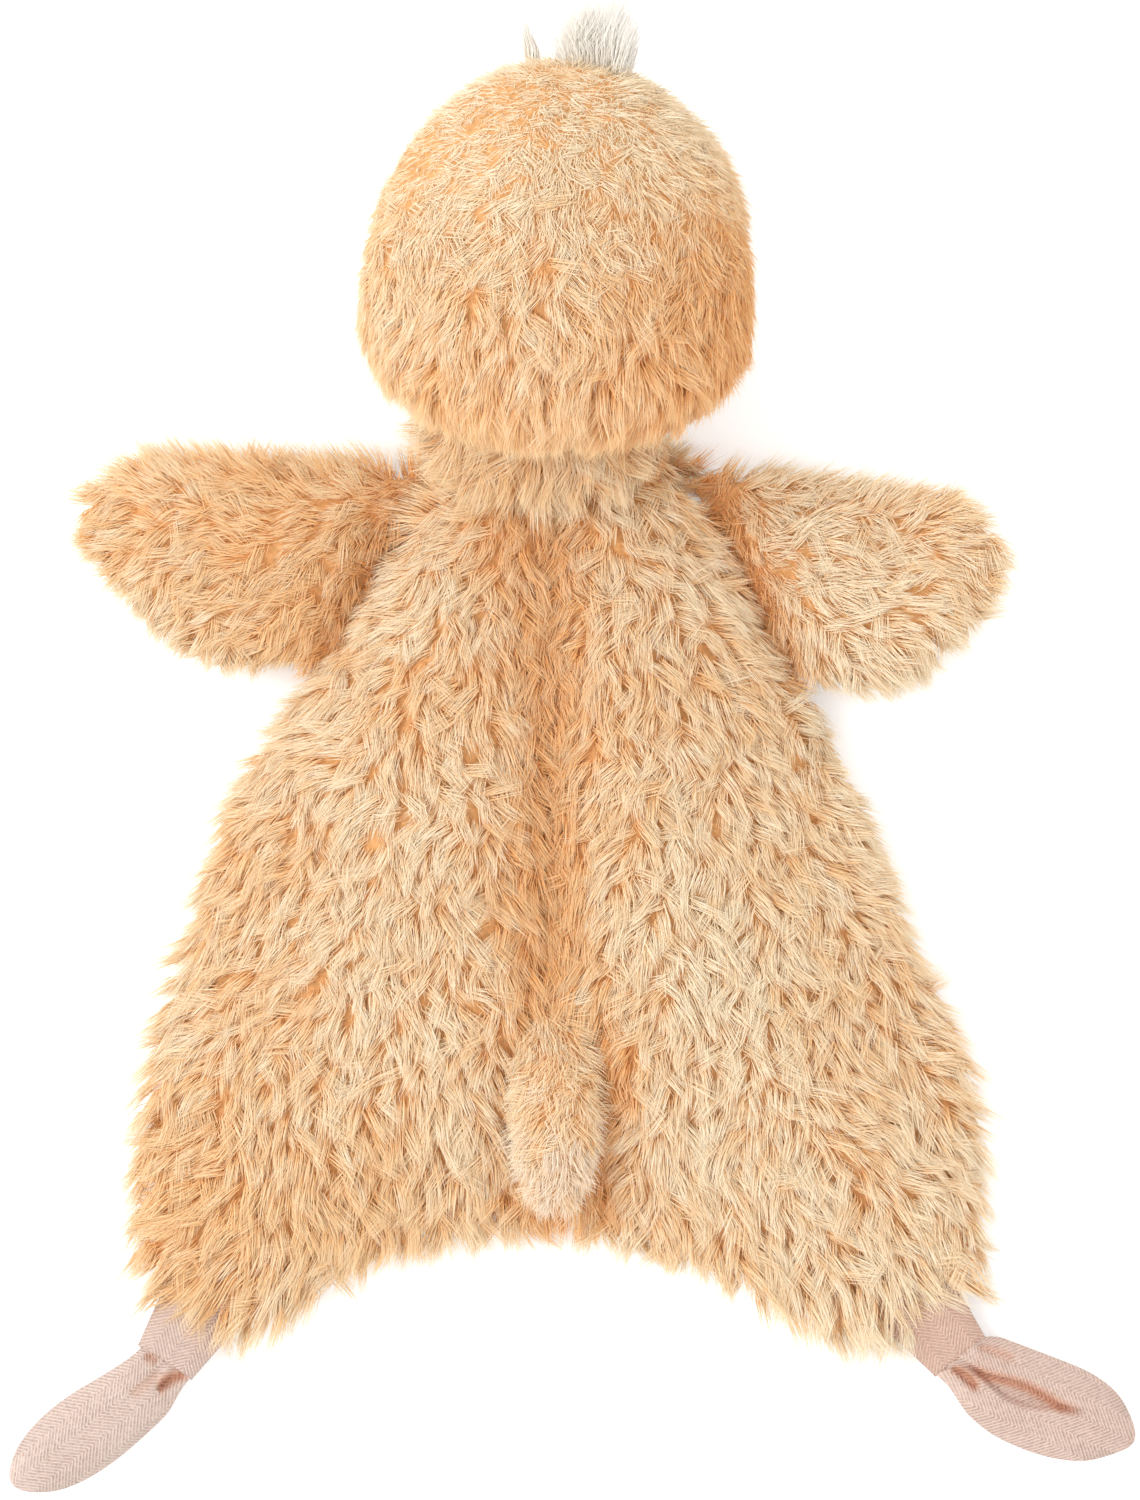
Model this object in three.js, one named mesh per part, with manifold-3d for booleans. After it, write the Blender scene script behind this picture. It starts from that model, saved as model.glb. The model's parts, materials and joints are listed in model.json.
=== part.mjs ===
// A baby's comfort blanket in the shape of a young bird, lying on its belly with its back up.
// Millimetres. +X is to the right seen from above, +Y towards the head, +Z up through the back.
// The origin is on the flat of the belly, where the toy rests.

import * as THREE from "three";
import { mergeVertices } from "three/addons/utils/BufferGeometryUtils.js";
import Module from "manifold-3d";

// Cloth, seams and clearances
const plushCloth = 2;
const twillCloth = 1.2;
const seamGap = 0.3;
const seamEdge = 1.2;
const weldDistance = 0.0005;
const seamMargin = 6;
const innerWedge = THREE.MathUtils.degToRad(50);
const outerWedge = THREE.MathUtils.degToRad(40);
const overrun = 30;

// Body: a flat bag that widens from the neck to an arched hem. The hem's drops run from its left corner
// to its right one, with the arch a little to the left as the cloth lies.
const neckY = 66;
const neckHalfWidth = 29;
const hemHalfWidth = 95;
const bodyLength = 169;
const cornerDrop = 24;
const neckSeamHeight = 9;
const hemSeamHeight = 6;
const backRise = 17;
const restCut = 0.5;
const valleyHalfWidth = 11;
const bodySway = -2.5;
const flareShares = [0, 0.26, 0.59, 0.77, 0.95, 0.96];
const hemDropShares = [0.5, 1, 0.6, 0.29, 0.14, 0.08, 0.25, 0.52, 0.87, 1, 0.5];
const backRiseShares = [0.8, 0.95, 1, 0.95, 0.8, 0];
const bellyShares = [0.9, 1, 1, 1, 0.95, 0];
const swayShares = [0, 0.3, 1, 0.7, 0.2, 0];
const valleyShares = [0.15, 0.3, 0.4, 0.4, 0.3, 0.1];
const backPower = 2.4;
const bellyPower = 4;

// Head: an egg of plush that is widest below its middle
const headCentreY = 110.5;
const headCentreZ = 44;
const headHalfWidth = 41;
const headHalfLength = 40.5;
const headHalfDepth = 32;
const headTilt = THREE.MathUtils.degToRad(3);
const headTaperShare = 0.06;
const crownPower = 2;
const jowlPower = 3.4;
const poleOpeningShare = 0.03;

// Neck: a gathered roll that the head nods on
const neckAxisY = 72;
const neckAxisZ = 22;
const neckRadius = 14;
const neckHalfLength = 28;
const gatherDepth = 0.8;
const gatherCount = 5;
const neckSwellShares = [0, 0.62, 0.86, 0.97, 1, 0.97, 0.86, 0.62, 0];

// Face: two embroidered eyes and a padded bill of twill
const eyeSpacing = 30;
const eyeAboveCentre = 9;
const eyeRadius = 4.2;
const eyeBulge = 1.8;
const billBelowCentre = 10;
const billWidth = 27;
const billLength = 24;
const billOverlap = 12.5;
const upperBillRise = 4.4;
const lowerBillRise = 3.2;
const lowerBillShare = 0.86;
const billCrownPower = 2;
const billTipPower = 3;
const billHalfWidthShares = [0.4, 0.46, 0.5, 0.49, 0.4, 0.14];

// Crown tuft: a fan of tapered locks on a small pad
const tuftOffset = 3.5;
const tuftPadHalfWidth = 10;
const tuftPadHalfDepth = 6;
const tuftPadHalfHeight = 3;
const lockLength = 12;
const lockRadius = 3.2;
const lockSpread = THREE.MathUtils.degToRad(84);
const lockLean = THREE.MathUtils.degToRad(-8);
const lockStagger = THREE.MathUtils.degToRad(14);
const lockLengthShares = [0.55, 0.8, 1, 0.95, 0.85, 0.7, 0.6];

// Wings: padded paddles sewn to the sides below the neck
const wingTopShare = 0.03;
const wingBottomShare = 0.258;
const wingWidth = 42;
const wingRise = 7;
const wingSeamRadius = 2;
const leftWingLength = 62;
const rightWingLength = 54;
const leftWingDroop = THREE.MathUtils.degToRad(1);
const rightWingDroop = THREE.MathUtils.degToRad(14);
const wingLeadShares = [0.5, 0.57, 0.6, 0.6, 0.6, 0.42];
const wingTrailShares = [-0.5, -0.36, -0.42, -0.38, -0.16, 0.2];
const wingRiseShares = [0, 0.7, 1, 0.95, 0.75, 0];
const limbPower = 3;
const limbRootPower = 3;

// Tail: a small padded nub at the foot of the back seam
const tailAboveHem = 46;
const tailLength = 42;
const tailWidth = 17;
const tailRise = 4.6;
const tailUnderShare = 0.5;
const tailSeamRadius = 4.2;
const tailSeamLength = 14;
const tailTilt = THREE.MathUtils.degToRad(3);
const tailEdgeShares = [0.44, 0.49, 0.5, 0.47, 0.38, 0.12];
const tailRiseShares = [0.5, 0.85, 1, 0.95, 0.8, 0];

// Legs and feet: flat twill tubes from the hem, each ending in a foot gathered at the ankle
const legHemShare = 0.87;
const legAngle = THREE.MathUtils.degToRad(60);
const legLength = 15.5;
const legRootWidth = 18.5;
const legRise = 1.4;
const legPower = 2;
const ankleWidth = 13;
const legSeamRadius = 1.8;
const ankleSeamRadius = 1.8;
const footLength = 43;
const footWidth = 23;
const footRise = 3.8;
const leftFootTurn = THREE.MathUtils.degToRad(-20);
const rightFootTurn = THREE.MathUtils.degToRad(-35);
const footEdgeShares = [0.36, 0.47, 0.5, 0.49, 0.4, 0.12];
const footRiseShares = [0.3, 0.85, 1, 0.95, 0.75, 0];
const pleatHalfWidth = 1.7;
const pleatFadePower = 0.5;
const leftNearPleatDepth = 1.5;
const leftFarPleatDepth = 2.4;
const rightLongPleatDepth = 3.2;
const rightShortPleatDepth = 1.6;
const leftFootPleats = [
  { acrossShare: 0.3, depth: leftNearPleatDepth, startShare: 0.02, endShare: 0.22 },
  { acrossShare: 0.72, depth: leftFarPleatDepth, startShare: 0.02, endShare: 0.34 },
];
const rightFootPleats = [
  { acrossShare: 0.5, depth: rightLongPleatDepth, startShare: 0.02, endShare: 0.66 },
  { acrossShare: 0.76, depth: rightShortPleatDepth, startShare: 0.02, endShare: 0.26 },
];

// How finely the forms are faceted
const rollSides = 16;
const neckSides = 16;
const neckSpaceSteps = 10;
const gatherSteps = 3;
const backColumns = 8;
const bodyRows = 12;
const headQuarterColumns = 7;
const headRows = 12;
const headSpaceColumns = 36;
const headSpaceRows = 24;
const eyeColumns = 16;
const eyeRows = 10;
const tuftPadColumns = 16;
const tuftPadRows = 8;
const lockSides = 6;
const lockRows = 1;
const billColumns = 8;
const billRows = 6;
const wingColumns = 8;
const wingRows = 9;
const tailColumns = 6;
const tailRows = 8;
const legColumns = 6;
const legRows = 4;
const footColumns = 10;
const footRows = 10;
const fillingMarginSteps = 1;
const footFillingMarginSteps = 2;

// Materials
const plush = new THREE.MeshStandardMaterial({ color: 0xf0c491, roughness: 0.95, metalness: 0 });
const creamPlush = new THREE.MeshStandardMaterial({ color: 0xebe4da, roughness: 0.95, metalness: 0 });
const twill = new THREE.MeshStandardMaterial({ color: 0xe6cdc2, roughness: 0.85, metalness: 0 });
const wadding = new THREE.MeshStandardMaterial({ color: 0xf4f2ee, roughness: 1, metalness: 0 });
const thread = new THREE.MeshStandardMaterial({ color: 0x4a3428, roughness: 0.6, metalness: 0 });
const seamThread = new THREE.MeshStandardMaterial({ color: 0xdcb088, roughness: 0.8, metalness: 0 });

const wasm = await Module();
wasm.setup();

const toy = new THREE.Group();

// A smooth value for t from 0 to 1, through evenly spaced shares.
function smooth(shares) {
  const curve = new THREE.SplineCurve(
    shares.map((share, index) => new THREE.Vector2(index / (shares.length - 1), share)),
  );
  return (t) => curve.getPoint(THREE.MathUtils.clamp(t, 0, 1)).y;
}

// A closed solid between two facing surfaces, each a point for u and v from 0 to 1.
function slab(outer, inner, columns, rows) {
  const positions = [];
  for (const face of [outer, inner]) {
    for (let row = 0; row <= rows; row++) {
      for (let column = 0; column <= columns; column++) {
        positions.push(...face(column / columns, row / rows).toArray());
      }
    }
  }
  const stride = columns + 1;
  const layer = stride * (rows + 1);
  const triangles = [];
  const quad = (a, b, c, d) => triangles.push(a, b, c, a, c, d);
  for (let row = 0; row < rows; row++) {
    for (let column = 0; column < columns; column++) {
      const corner = row * stride + column;
      quad(corner, corner + 1, corner + stride + 1, corner + stride);
      quad(
        layer + corner,
        layer + corner + stride,
        layer + corner + stride + 1,
        layer + corner + 1,
      );
    }
  }
  const wall = (a, b) => quad(b, a, layer + a, layer + b);
  for (let column = 0; column < columns; column++) {
    wall(column, column + 1);
    wall(rows * stride + column + 1, rows * stride + column);
  }
  for (let row = 0; row < rows; row++) {
    wall((row + 1) * stride, row * stride);
    wall(row * stride + columns, (row + 1) * stride + columns);
  }
  const geometry = new THREE.BufferGeometry();
  geometry.setAttribute("position", new THREE.Float32BufferAttribute(positions, 3));
  geometry.setIndex(triangles);
  return facingOut(geometry);
}

// The same mesh with its faces turned outwards.
function facingOut(geometry) {
  const position = geometry.getAttribute("position");
  const index = geometry.getIndex();
  const corners = [new THREE.Vector3(), new THREE.Vector3(), new THREE.Vector3()];
  let volume = 0;
  for (let start = 0; start < index.count; start += 3) {
    corners.forEach((corner, side) => corner.fromBufferAttribute(position, index.getX(start + side)));
    volume += corners[0].dot(corners[1].cross(corners[2]));
  }
  if (volume < 0) {
    geometry.setIndex(Array.from(index.array).reverse());
  }
  return geometry;
}

// The mesh with its shared corners merged and its empty triangles left out.
function welded(geometry) {
  const bare = new THREE.BufferGeometry();
  bare.setAttribute("position", geometry.getAttribute("position"));
  bare.setIndex(geometry.getIndex());
  const merged = mergeVertices(bare, weldDistance);
  const corners = merged.getIndex().array;
  const kept = [];
  for (let start = 0; start < corners.length; start += 3) {
    const [a, b, c] = corners.slice(start, start + 3);
    if (a !== b && b !== c && c !== a) {
      kept.push(a, b, c);
    }
  }
  merged.setIndex(kept);
  return merged;
}

function solidOf(geometry) {
  const mesh = welded(geometry);
  return new wasm.Manifold(
    new wasm.Mesh({
      numProp: 3,
      vertProperties: new Float32Array(mesh.getAttribute("position").array),
      triVerts: new Uint32Array(mesh.getIndex().array),
    }),
  );
}

function geometryOf(solid) {
  const { vertProperties, triVerts } = solid.getMesh();
  const geometry = new THREE.BufferGeometry();
  geometry.setAttribute("position", new THREE.BufferAttribute(vertProperties, 3));
  geometry.setIndex(new THREE.BufferAttribute(triVerts, 1));
  return geometry;
}

function cut(geometry, tools) {
  return geometryOf(tools.reduce((rest, tool) => rest.subtract(solidOf(tool)), solidOf(geometry)));
}

function join(geometries) {
  return geometryOf(geometries.map(solidOf).reduce((sum, solid) => sum.add(solid)));
}

function addPiece(name, geometry, material, parent) {
  const shown = geometry.toNonIndexed();
  shown.computeVertexNormals();
  const mesh = new THREE.Mesh(shown, material);
  mesh.name = name;
  parent.add(mesh);
}

// A padded form has a plan, a seam height and a rise on each side of its seam.
// This is the cloth over one side of it, between two shares of its width.
function clothPanel(form, side, columns, rows, fromU = () => 0, toU = () => 1) {
  const face = (heightOf) => (u, v) => {
    const across = THREE.MathUtils.lerp(fromU(v), toU(v), u);
    const place = form.plan(across, v);
    return new THREE.Vector3(place.x, place.y, form.seam(v) + side * heightOf(form.rise(side, across, v)));
  };
  const outer = face((rise) => rise);
  const inner = face((rise) => Math.max(seamGap / 2, rise - form.cloth));
  return slab(outer, inner, columns, rows);
}

// The filling inside a padded form, clear of its cloth and a few facets short of its seams.
function filling(form, marginSteps, columns, rows) {
  const face = (side) => (u, v) => {
    const across = THREE.MathUtils.lerp(marginSteps, columns - marginSteps, u) / columns;
    const down = THREE.MathUtils.lerp(marginSteps, rows - marginSteps, v) / rows;
    const place = form.plan(across, down);
    const height = form.rise(side, across, down) - form.cloth - seamGap;
    return new THREE.Vector3(place.x, place.y, form.seam(down) + side * height);
  };
  return slab(face(1), face(-1), columns - 2 * marginSteps, rows - 2 * marginSteps);
}

// How full a sewn form is across its width: nothing at the seams, all of it between them.
function crossFullness(u, power) {
  return 1 - Math.abs(2 * u - 1) ** power;
}

// The plan of a limb that leaves a straight seam along Y and reaches out along X, turned downwards.
function limbPlan(side, limb) {
  const lead = smooth(limb.leadShares);
  const trail = smooth(limb.trailShares);
  const reach = new THREE.Vector2(Math.cos(limb.turn), -Math.sin(limb.turn));
  const across = new THREE.Vector2(Math.sin(limb.turn), Math.cos(limb.turn));
  return (u, v) => {
    const root = new THREE.Vector2(0, (0.5 - u) * limb.rootWidth);
    const free = reach.clone().multiplyScalar(limb.length * v);
    free.addScaledVector(across, THREE.MathUtils.lerp(lead(v), trail(v), u) * limb.width);
    const place = root.lerp(free, 1 - (1 - v) ** limbRootPower);
    return new THREE.Vector2(side * place.x, place.y);
  };
}

// A roll of cloth and thread along Y, which a limb turns on.
function seamRoll(radius, length) {
  return new THREE.CylinderGeometry(radius, radius, length, rollSides);
}

// What the pieces on both sides of a seam roll keep free for it.
function seamSpace(radius, length) {
  return seamRoll(radius + seamGap, length + 2 * seamGap);
}

// What a piece on one side of a seam keeps free so that the other side can turn: all but a wedge.
function turningSpace(side, length, wedgeAngle) {
  const section = new THREE.Shape([
    new THREE.Vector2(0, 0),
    new THREE.Vector2((-side * overrun) / Math.tan(wedgeAngle), overrun),
    new THREE.Vector2(side * overrun, overrun),
    new THREE.Vector2(side * overrun, -overrun),
    new THREE.Vector2((-side * overrun) / Math.tan(wedgeAngle), -overrun),
  ]);
  const span = length + 2 * seamMargin;
  const space = new THREE.ExtrudeGeometry(section, { depth: span, bevelEnabled: false });
  return space.translate(0, 0, -span / 2).rotateX(-Math.PI / 2);
}

function placed(geometry, frame) {
  frame.updateWorldMatrix(true, false);
  return geometry.clone().applyMatrix4(frame.matrixWorld);
}

function addFrame(parent, position, turn) {
  const frame = new THREE.Group();
  frame.position.copy(position);
  frame.rotation.z = turn;
  parent.add(frame);
  return frame;
}

// Body
const flareShare = smooth(flareShares);
const swayShare = smooth(swayShares);
const hemDropShare = smooth(hemDropShares);
const backRiseShare = smooth(backRiseShares);
const bellyShare = smooth(bellyShares);
const valleyShare = smooth(valleyShares);

function bodyHalfWidth(v) {
  return THREE.MathUtils.lerp(neckHalfWidth, hemHalfWidth, flareShare(v));
}

const body = {
  cloth: plushCloth,
  plan(u, v) {
    const across = 2 * u - 1;
    const length = bodyLength + cornerDrop * hemDropShare(u);
    return new THREE.Vector2(across * bodyHalfWidth(v) + bodySway * swayShare(v), neckY - v * length);
  },
  seam(v) {
    return THREE.MathUtils.lerp(neckSeamHeight, hemSeamHeight, v);
  },
  rise(side, u, v) {
    if (side < 0) {
      const press = body.seam(v) - seamEdge + restCut;
      const depth = seamEdge + press * bellyShare(v) * crossFullness(u, bellyPower);
      return Math.min(depth, body.seam(v));
    }
    const fromValley = ((2 * u - 1) * bodyHalfWidth(v)) / valleyHalfWidth;
    const left = 1 - valleyShare(v) * Math.exp(-fromValley * fromValley);
    return seamEdge + backRise * backRiseShare(v) * crossFullness(u, backPower) * left;
  },
};

// Where a point of the body's plan lies, at the height of its side seam.
function bodySeamPoint(u, v) {
  const place = body.plan(u, v);
  return new THREE.Vector3(place.x, place.y, body.seam(v));
}

// Frames: a limb turns about the Y axis of its frame, which lies along its seam
const sides = [
  { name: "left", side: -1 },
  { name: "right", side: 1 },
];
for (const limb of sides) {
  const edge = (1 + limb.side) / 2;
  const wingTop = bodySeamPoint(edge, wingTopShare);
  const wingBottom = bodySeamPoint(edge, wingBottomShare);
  const wingRoot = wingTop.clone().add(wingBottom).divideScalar(2);
  limb.wingSeamLength = Math.hypot(wingTop.x - wingBottom.x, wingTop.y - wingBottom.y);
  limb.wingSeamTurn = Math.atan2(wingBottom.x - wingTop.x, wingTop.y - wingBottom.y);
  limb.wingFrame = addFrame(toy, wingRoot, limb.wingSeamTurn);
  const legRoot = bodySeamPoint((1 + limb.side * legHemShare) / 2, 1);
  limb.legFrame = addFrame(toy, legRoot, -limb.side * legAngle);
  limb.footFrame = addFrame(limb.legFrame, new THREE.Vector3(limb.side * legLength, 0, 0), 0);
}
const tailShare = (bodyLength - tailAboveHem) / bodyLength;
const tailRoot = bodySeamPoint(0.5, tailShare);
const rollEndShare = 0.5 + tailSeamLength / 4 / bodyHalfWidth(tailShare);
tailRoot.z += body.rise(1, rollEndShare, tailShare) + tailSeamRadius + seamGap;
const tailFrame = addFrame(toy, tailRoot, -Math.PI / 2);
tailFrame.rotation.x = tailTilt;
const headFrame = addFrame(toy, new THREE.Vector3(0, headCentreY, headCentreZ), -headTilt);

// Neck
const neckSwellShare = smooth(neckSwellShares);

// The neck roll along X, its gathers drawn in from a smooth swelling outline.
function neckRoll(steps, drawnIn, clearance) {
  const profile = [new THREE.Vector2(0, -neckHalfLength - clearance)];
  for (let step = 1; step < steps; step++) {
    const t = step / steps;
    const gather = (drawnIn * (1 - Math.cos(2 * Math.PI * gatherCount * t))) / 2;
    const radius = neckRadius * neckSwellShare(t) - gather + clearance;
    profile.push(new THREE.Vector2(radius, THREE.MathUtils.lerp(-neckHalfLength, neckHalfLength, t)));
  }
  profile.push(new THREE.Vector2(0, neckHalfLength + clearance));
  const roll = new THREE.LatheGeometry(profile, neckSides);
  return roll.rotateZ(Math.PI / 2).translate(0, neckAxisY, neckAxisZ);
}

addPiece("neck_gather", neckRoll(gatherCount * gatherSteps, gatherDepth, 0), plush, toy);
const neckSpace = neckRoll(neckSpaceSteps, 0, seamGap);

// Body cloth and filling
const bodySpaces = [neckSpace, placed(seamSpace(tailSeamRadius, tailSeamLength), tailFrame)];
for (const { side, wingFrame, wingSeamLength, legFrame } of sides) {
  bodySpaces.push(
    placed(seamSpace(wingSeamRadius, wingSeamLength), wingFrame),
    placed(turningSpace(side, wingSeamLength, innerWedge), wingFrame),
    placed(seamSpace(legSeamRadius, legRootWidth), legFrame),
    placed(turningSpace(side, legRootWidth, innerWedge), legFrame),
  );
}
const backSeam = (side) => (v) => 0.5 + (side * seamGap) / 4 / bodyHalfWidth(v);
const backPanels = {
  left: clothPanel(body, 1, backColumns, bodyRows, () => 0, backSeam(-1)),
  right: clothPanel(body, 1, backColumns, bodyRows, backSeam(1), () => 1),
};
for (const { name } of sides) {
  addPiece(`back_panel_${name}`, cut(backPanels[name], bodySpaces), plush, toy);
}
const bellyPanel = clothPanel(body, -1, 2 * backColumns, bodyRows);
addPiece("belly_panel", cut(bellyPanel, bodySpaces), plush, toy);
const bodyFilling = filling(body, fillingMarginSteps, 2 * backColumns, bodyRows);
addPiece("body_wadding", cut(bodyFilling, bodySpaces), wadding, toy);

// Head
function headRing(along) {
  const fullness = 1 - Math.abs(along) ** (along < 0 ? jowlPower : crownPower);
  return Math.sqrt(fullness) * (1 - headTaperShare * along);
}

// A closed form of the head, this far inside the outside of its plush.
function headForm(inset, columns, rows) {
  const form = new THREE.SphereGeometry(1, columns, rows);
  const position = form.getAttribute("position");
  const point = new THREE.Vector3();
  for (let index = 0; index < position.count; index++) {
    point.fromBufferAttribute(position, index);
    const onAxis = Math.abs(point.y) === 1;
    const widen = onAxis ? 0 : headRing(point.y) / Math.sqrt(1 - point.y ** 2);
    position.setXYZ(
      index,
      point.x * (headHalfWidth - inset) * widen,
      point.y * (headHalfLength - inset),
      point.z * (headHalfDepth - inset) * widen,
    );
  }
  return form;
}

// Plush over the head between two angles about its long axis, open at the neck and the crown.
function headPanel(fromAngle, toAngle, columns) {
  const face = (inset) => (u, v) => {
    const polar = Math.PI * THREE.MathUtils.lerp(poleOpeningShare, 1 - poleOpeningShare, v);
    const along = -Math.cos(polar);
    const ring = headRing(along);
    const margin = Math.asin(seamGap / 2 / ((headHalfDepth - plushCloth) * ring));
    const angle = THREE.MathUtils.lerp(fromAngle + margin, toAngle - margin, u);
    return new THREE.Vector3(
      (headHalfWidth - inset) * ring * Math.cos(angle),
      (headHalfLength - inset) * along,
      (headHalfDepth - inset) * ring * Math.sin(angle),
    );
  };
  return slab(face(0), face(plushCloth), columns, headRows);
}

// The neck's space seen from the head's frame
headFrame.updateMatrixWorld(true);
const neckSpaceAtHead = neckSpace.clone().applyMatrix4(headFrame.matrixWorld.clone().invert());
const headPanels = {
  head_back_right: headPanel(0, Math.PI / 2, headQuarterColumns),
  head_back_left: headPanel(Math.PI / 2, Math.PI, headQuarterColumns),
  face_panel: headPanel(Math.PI, 2 * Math.PI, 2 * headQuarterColumns),
};
for (const [name, panel] of Object.entries(headPanels)) {
  addPiece(name, cut(panel, [neckSpaceAtHead]), plush, headFrame);
}
const headFilling = headForm(plushCloth + seamGap, 4 * headQuarterColumns, headRows);
addPiece("head_stuffing", cut(headFilling, [neckSpaceAtHead]), wadding, headFrame);
const headSpace = headForm(-seamGap, headSpaceColumns, headSpaceRows);

// Face
const eyeAlong = eyeAboveCentre / headHalfLength;
const eyeRing = headRing(eyeAlong);
const eyeAcross = eyeSpacing / 2 / (headHalfWidth * eyeRing);
for (const { name, side } of sides) {
  const z = -headHalfDepth * eyeRing * Math.sqrt(1 - eyeAcross * eyeAcross);
  const centre = new THREE.Vector3((side * eyeSpacing) / 2, eyeAboveCentre, z);
  const outwards = new THREE.Vector3(
    centre.x / headHalfWidth ** 2,
    centre.y / headHalfLength ** 2,
    centre.z / headHalfDepth ** 2,
  ).normalize();
  const eye = new THREE.SphereGeometry(1, eyeColumns, eyeRows).scale(eyeRadius, eyeRadius, eyeBulge);
  eye.applyQuaternion(new THREE.Quaternion().setFromUnitVectors(new THREE.Vector3(0, 0, 1), outwards));
  eye.translate(centre.x, centre.y, centre.z);
  addPiece(`${name}_eye`, cut(eye, [headSpace]), thread, headFrame);
}

// One half of the bill: padded twill, flat where it meets the other half.
function billHalf(facing, lengthShare, rise) {
  const halfWidthShare = smooth(billHalfWidthShares);
  const face = (heightOf) => (u, v) => {
    const x = (2 * u - 1) * halfWidthShare(v) * billWidth;
    const height = seamEdge / 2 + rise * crossFullness(u, billCrownPower) * (1 - v ** billTipPower);
    return new THREE.Vector3(x, v * billLength * lengthShare, facing * heightOf(height));
  };
  const half = slab(face((height) => height), face(() => seamGap / 2), billColumns, billRows);
  half.rotateX(-Math.PI / 2);
  return half.translate(0, -billBelowCentre, billOverlap - headHalfDepth);
}

addPiece("beak_upper", cut(billHalf(1, 1, upperBillRise), [headSpace]), twill, headFrame);
addPiece("beak_lower", cut(billHalf(-1, lowerBillShare, lowerBillRise), [headSpace]), twill, headFrame);

// Crown tuft
const tuftPad = new THREE.SphereGeometry(1, tuftPadColumns, tuftPadRows);
tuftPad.scale(tuftPadHalfWidth, tuftPadHalfHeight, tuftPadHalfDepth);
const locks = [];
lockLengthShares.forEach((lengthShare, index) => {
  const across = index / (lockLengthShares.length - 1) - 0.5;
  const length = lockLength * lengthShare;
  const lock = new THREE.ConeGeometry(lockRadius, length, lockSides, lockRows);
  lock.translate(0, length / 2, 0);
  lock.rotateX((index % 2 ? 1 : -1) * lockStagger);
  lock.rotateZ(lockLean - across * lockSpread);
  locks.push(lock.translate(across * 2 * (tuftPadHalfWidth - lockRadius), 0, 0));
});
const tuft = join([tuftPad, ...locks]).translate(tuftOffset, headHalfLength, 0);
addPiece("crown_tuft", cut(tuft, [headSpace]), creamPlush, headFrame);

// Padded limbs: two cloth panels sewn edge to edge over a filling, on a seam roll
function limbForm(side, limb) {
  const fullness = smooth(limb.riseShares);
  return {
    cloth: limb.cloth,
    plan: limbPlan(side, limb),
    seam: () => 0,
    rise(facing, u, v) {
      const rise = facing > 0 ? limb.rise : limb.rise * limb.underShare;
      const pleats = facing > 0 ? limb.pleats : [];
      const drawnIn = pleats.reduce((sum, pleat) => sum + pleatDepth(pleat, limb.width, u, v), 0);
      return seamEdge + Math.max(0, rise * fullness(v) * crossFullness(u, limbPower) - drawnIn);
    },
  };
}

// How deep a pleat draws the cloth in: a crease along the limb that fades out at its far end.
function pleatDepth(pleat, width, u, v) {
  const away = ((u - pleat.acrossShare) * width) / pleatHalfWidth;
  const along = (v - pleat.startShare) / (pleat.endShare - pleat.startShare);
  const fade = along < 0 || along > 1 ? 0 : Math.sin(Math.PI * along) ** pleatFadePower;
  return pleat.depth * fade * Math.exp(-away * away);
}

function addLimb(frame, side, limb, names) {
  const form = limbForm(side, limb);
  const space = [
    seamSpace(limb.seamRadius, limb.rootWidth),
    turningSpace(-side, limb.rootWidth, outerWedge),
  ];
  const top = clothPanel(form, 1, limb.columns, limb.rows);
  const under = clothPanel(form, -1, limb.columns, limb.rows);
  const inside = filling(form, limb.fillingMarginSteps, limb.columns, limb.rows);
  addPiece(names.roll, seamRoll(limb.seamRadius, limb.rootWidth), seamThread, frame);
  addPiece(names.top, cut(top, space), limb.material, frame);
  addPiece(names.under, cut(under, space), limb.material, frame);
  addPiece(names.filling, cut(inside, space), wadding, frame);
}

const wing = {
  cloth: plushCloth,
  material: plush,
  width: wingWidth,
  rise: wingRise,
  underShare: 1,
  riseShares: wingRiseShares,
  leadShares: wingLeadShares,
  trailShares: wingTrailShares,
  seamRadius: wingSeamRadius,
  pleats: [],
  fillingMarginSteps,
  columns: wingColumns,
  rows: wingRows,
};
const wingLengths = { left: leftWingLength, right: rightWingLength };
const wingDroops = { left: leftWingDroop, right: rightWingDroop };
for (const { name, side, wingFrame, wingSeamLength, wingSeamTurn } of sides) {
  const turn = Math.abs(wingSeamTurn) + wingDroops[name];
  const own = { ...wing, rootWidth: wingSeamLength, length: wingLengths[name], turn };
  addLimb(wingFrame, side, own, {
    roll: `${name}_wing_seam`,
    top: `${name}_wing_top`,
    under: `${name}_wing_under`,
    filling: `${name}_wing_padding`,
  });
}

const tail = {
  cloth: plushCloth,
  material: plush,
  rootWidth: tailSeamLength,
  length: tailLength,
  width: tailWidth,
  turn: 0,
  rise: tailRise,
  underShare: tailUnderShare,
  riseShares: tailRiseShares,
  leadShares: tailEdgeShares,
  trailShares: tailEdgeShares.map((share) => -share),
  seamRadius: tailSeamRadius,
  pleats: [],
  fillingMarginSteps,
  columns: tailColumns,
  rows: tailRows,
};
addLimb(tailFrame, 1, tail, {
  roll: "tail_seam",
  top: "tail_top",
  under: "tail_under",
  filling: "tail_stuffing",
});

// Legs: a flat twill tube between the roll at the hem and the roll at the ankle
function legTube(side) {
  const face = (facing) => (u, v) => {
    const width = THREE.MathUtils.lerp(legRootWidth, ankleWidth, v);
    const height = seamEdge + legRise * crossFullness(u, legPower);
    return new THREE.Vector3(side * legLength * v, (0.5 - u) * width, facing * height);
  };
  return slab(face(1), face(-1), legColumns, legRows);
}

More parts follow.
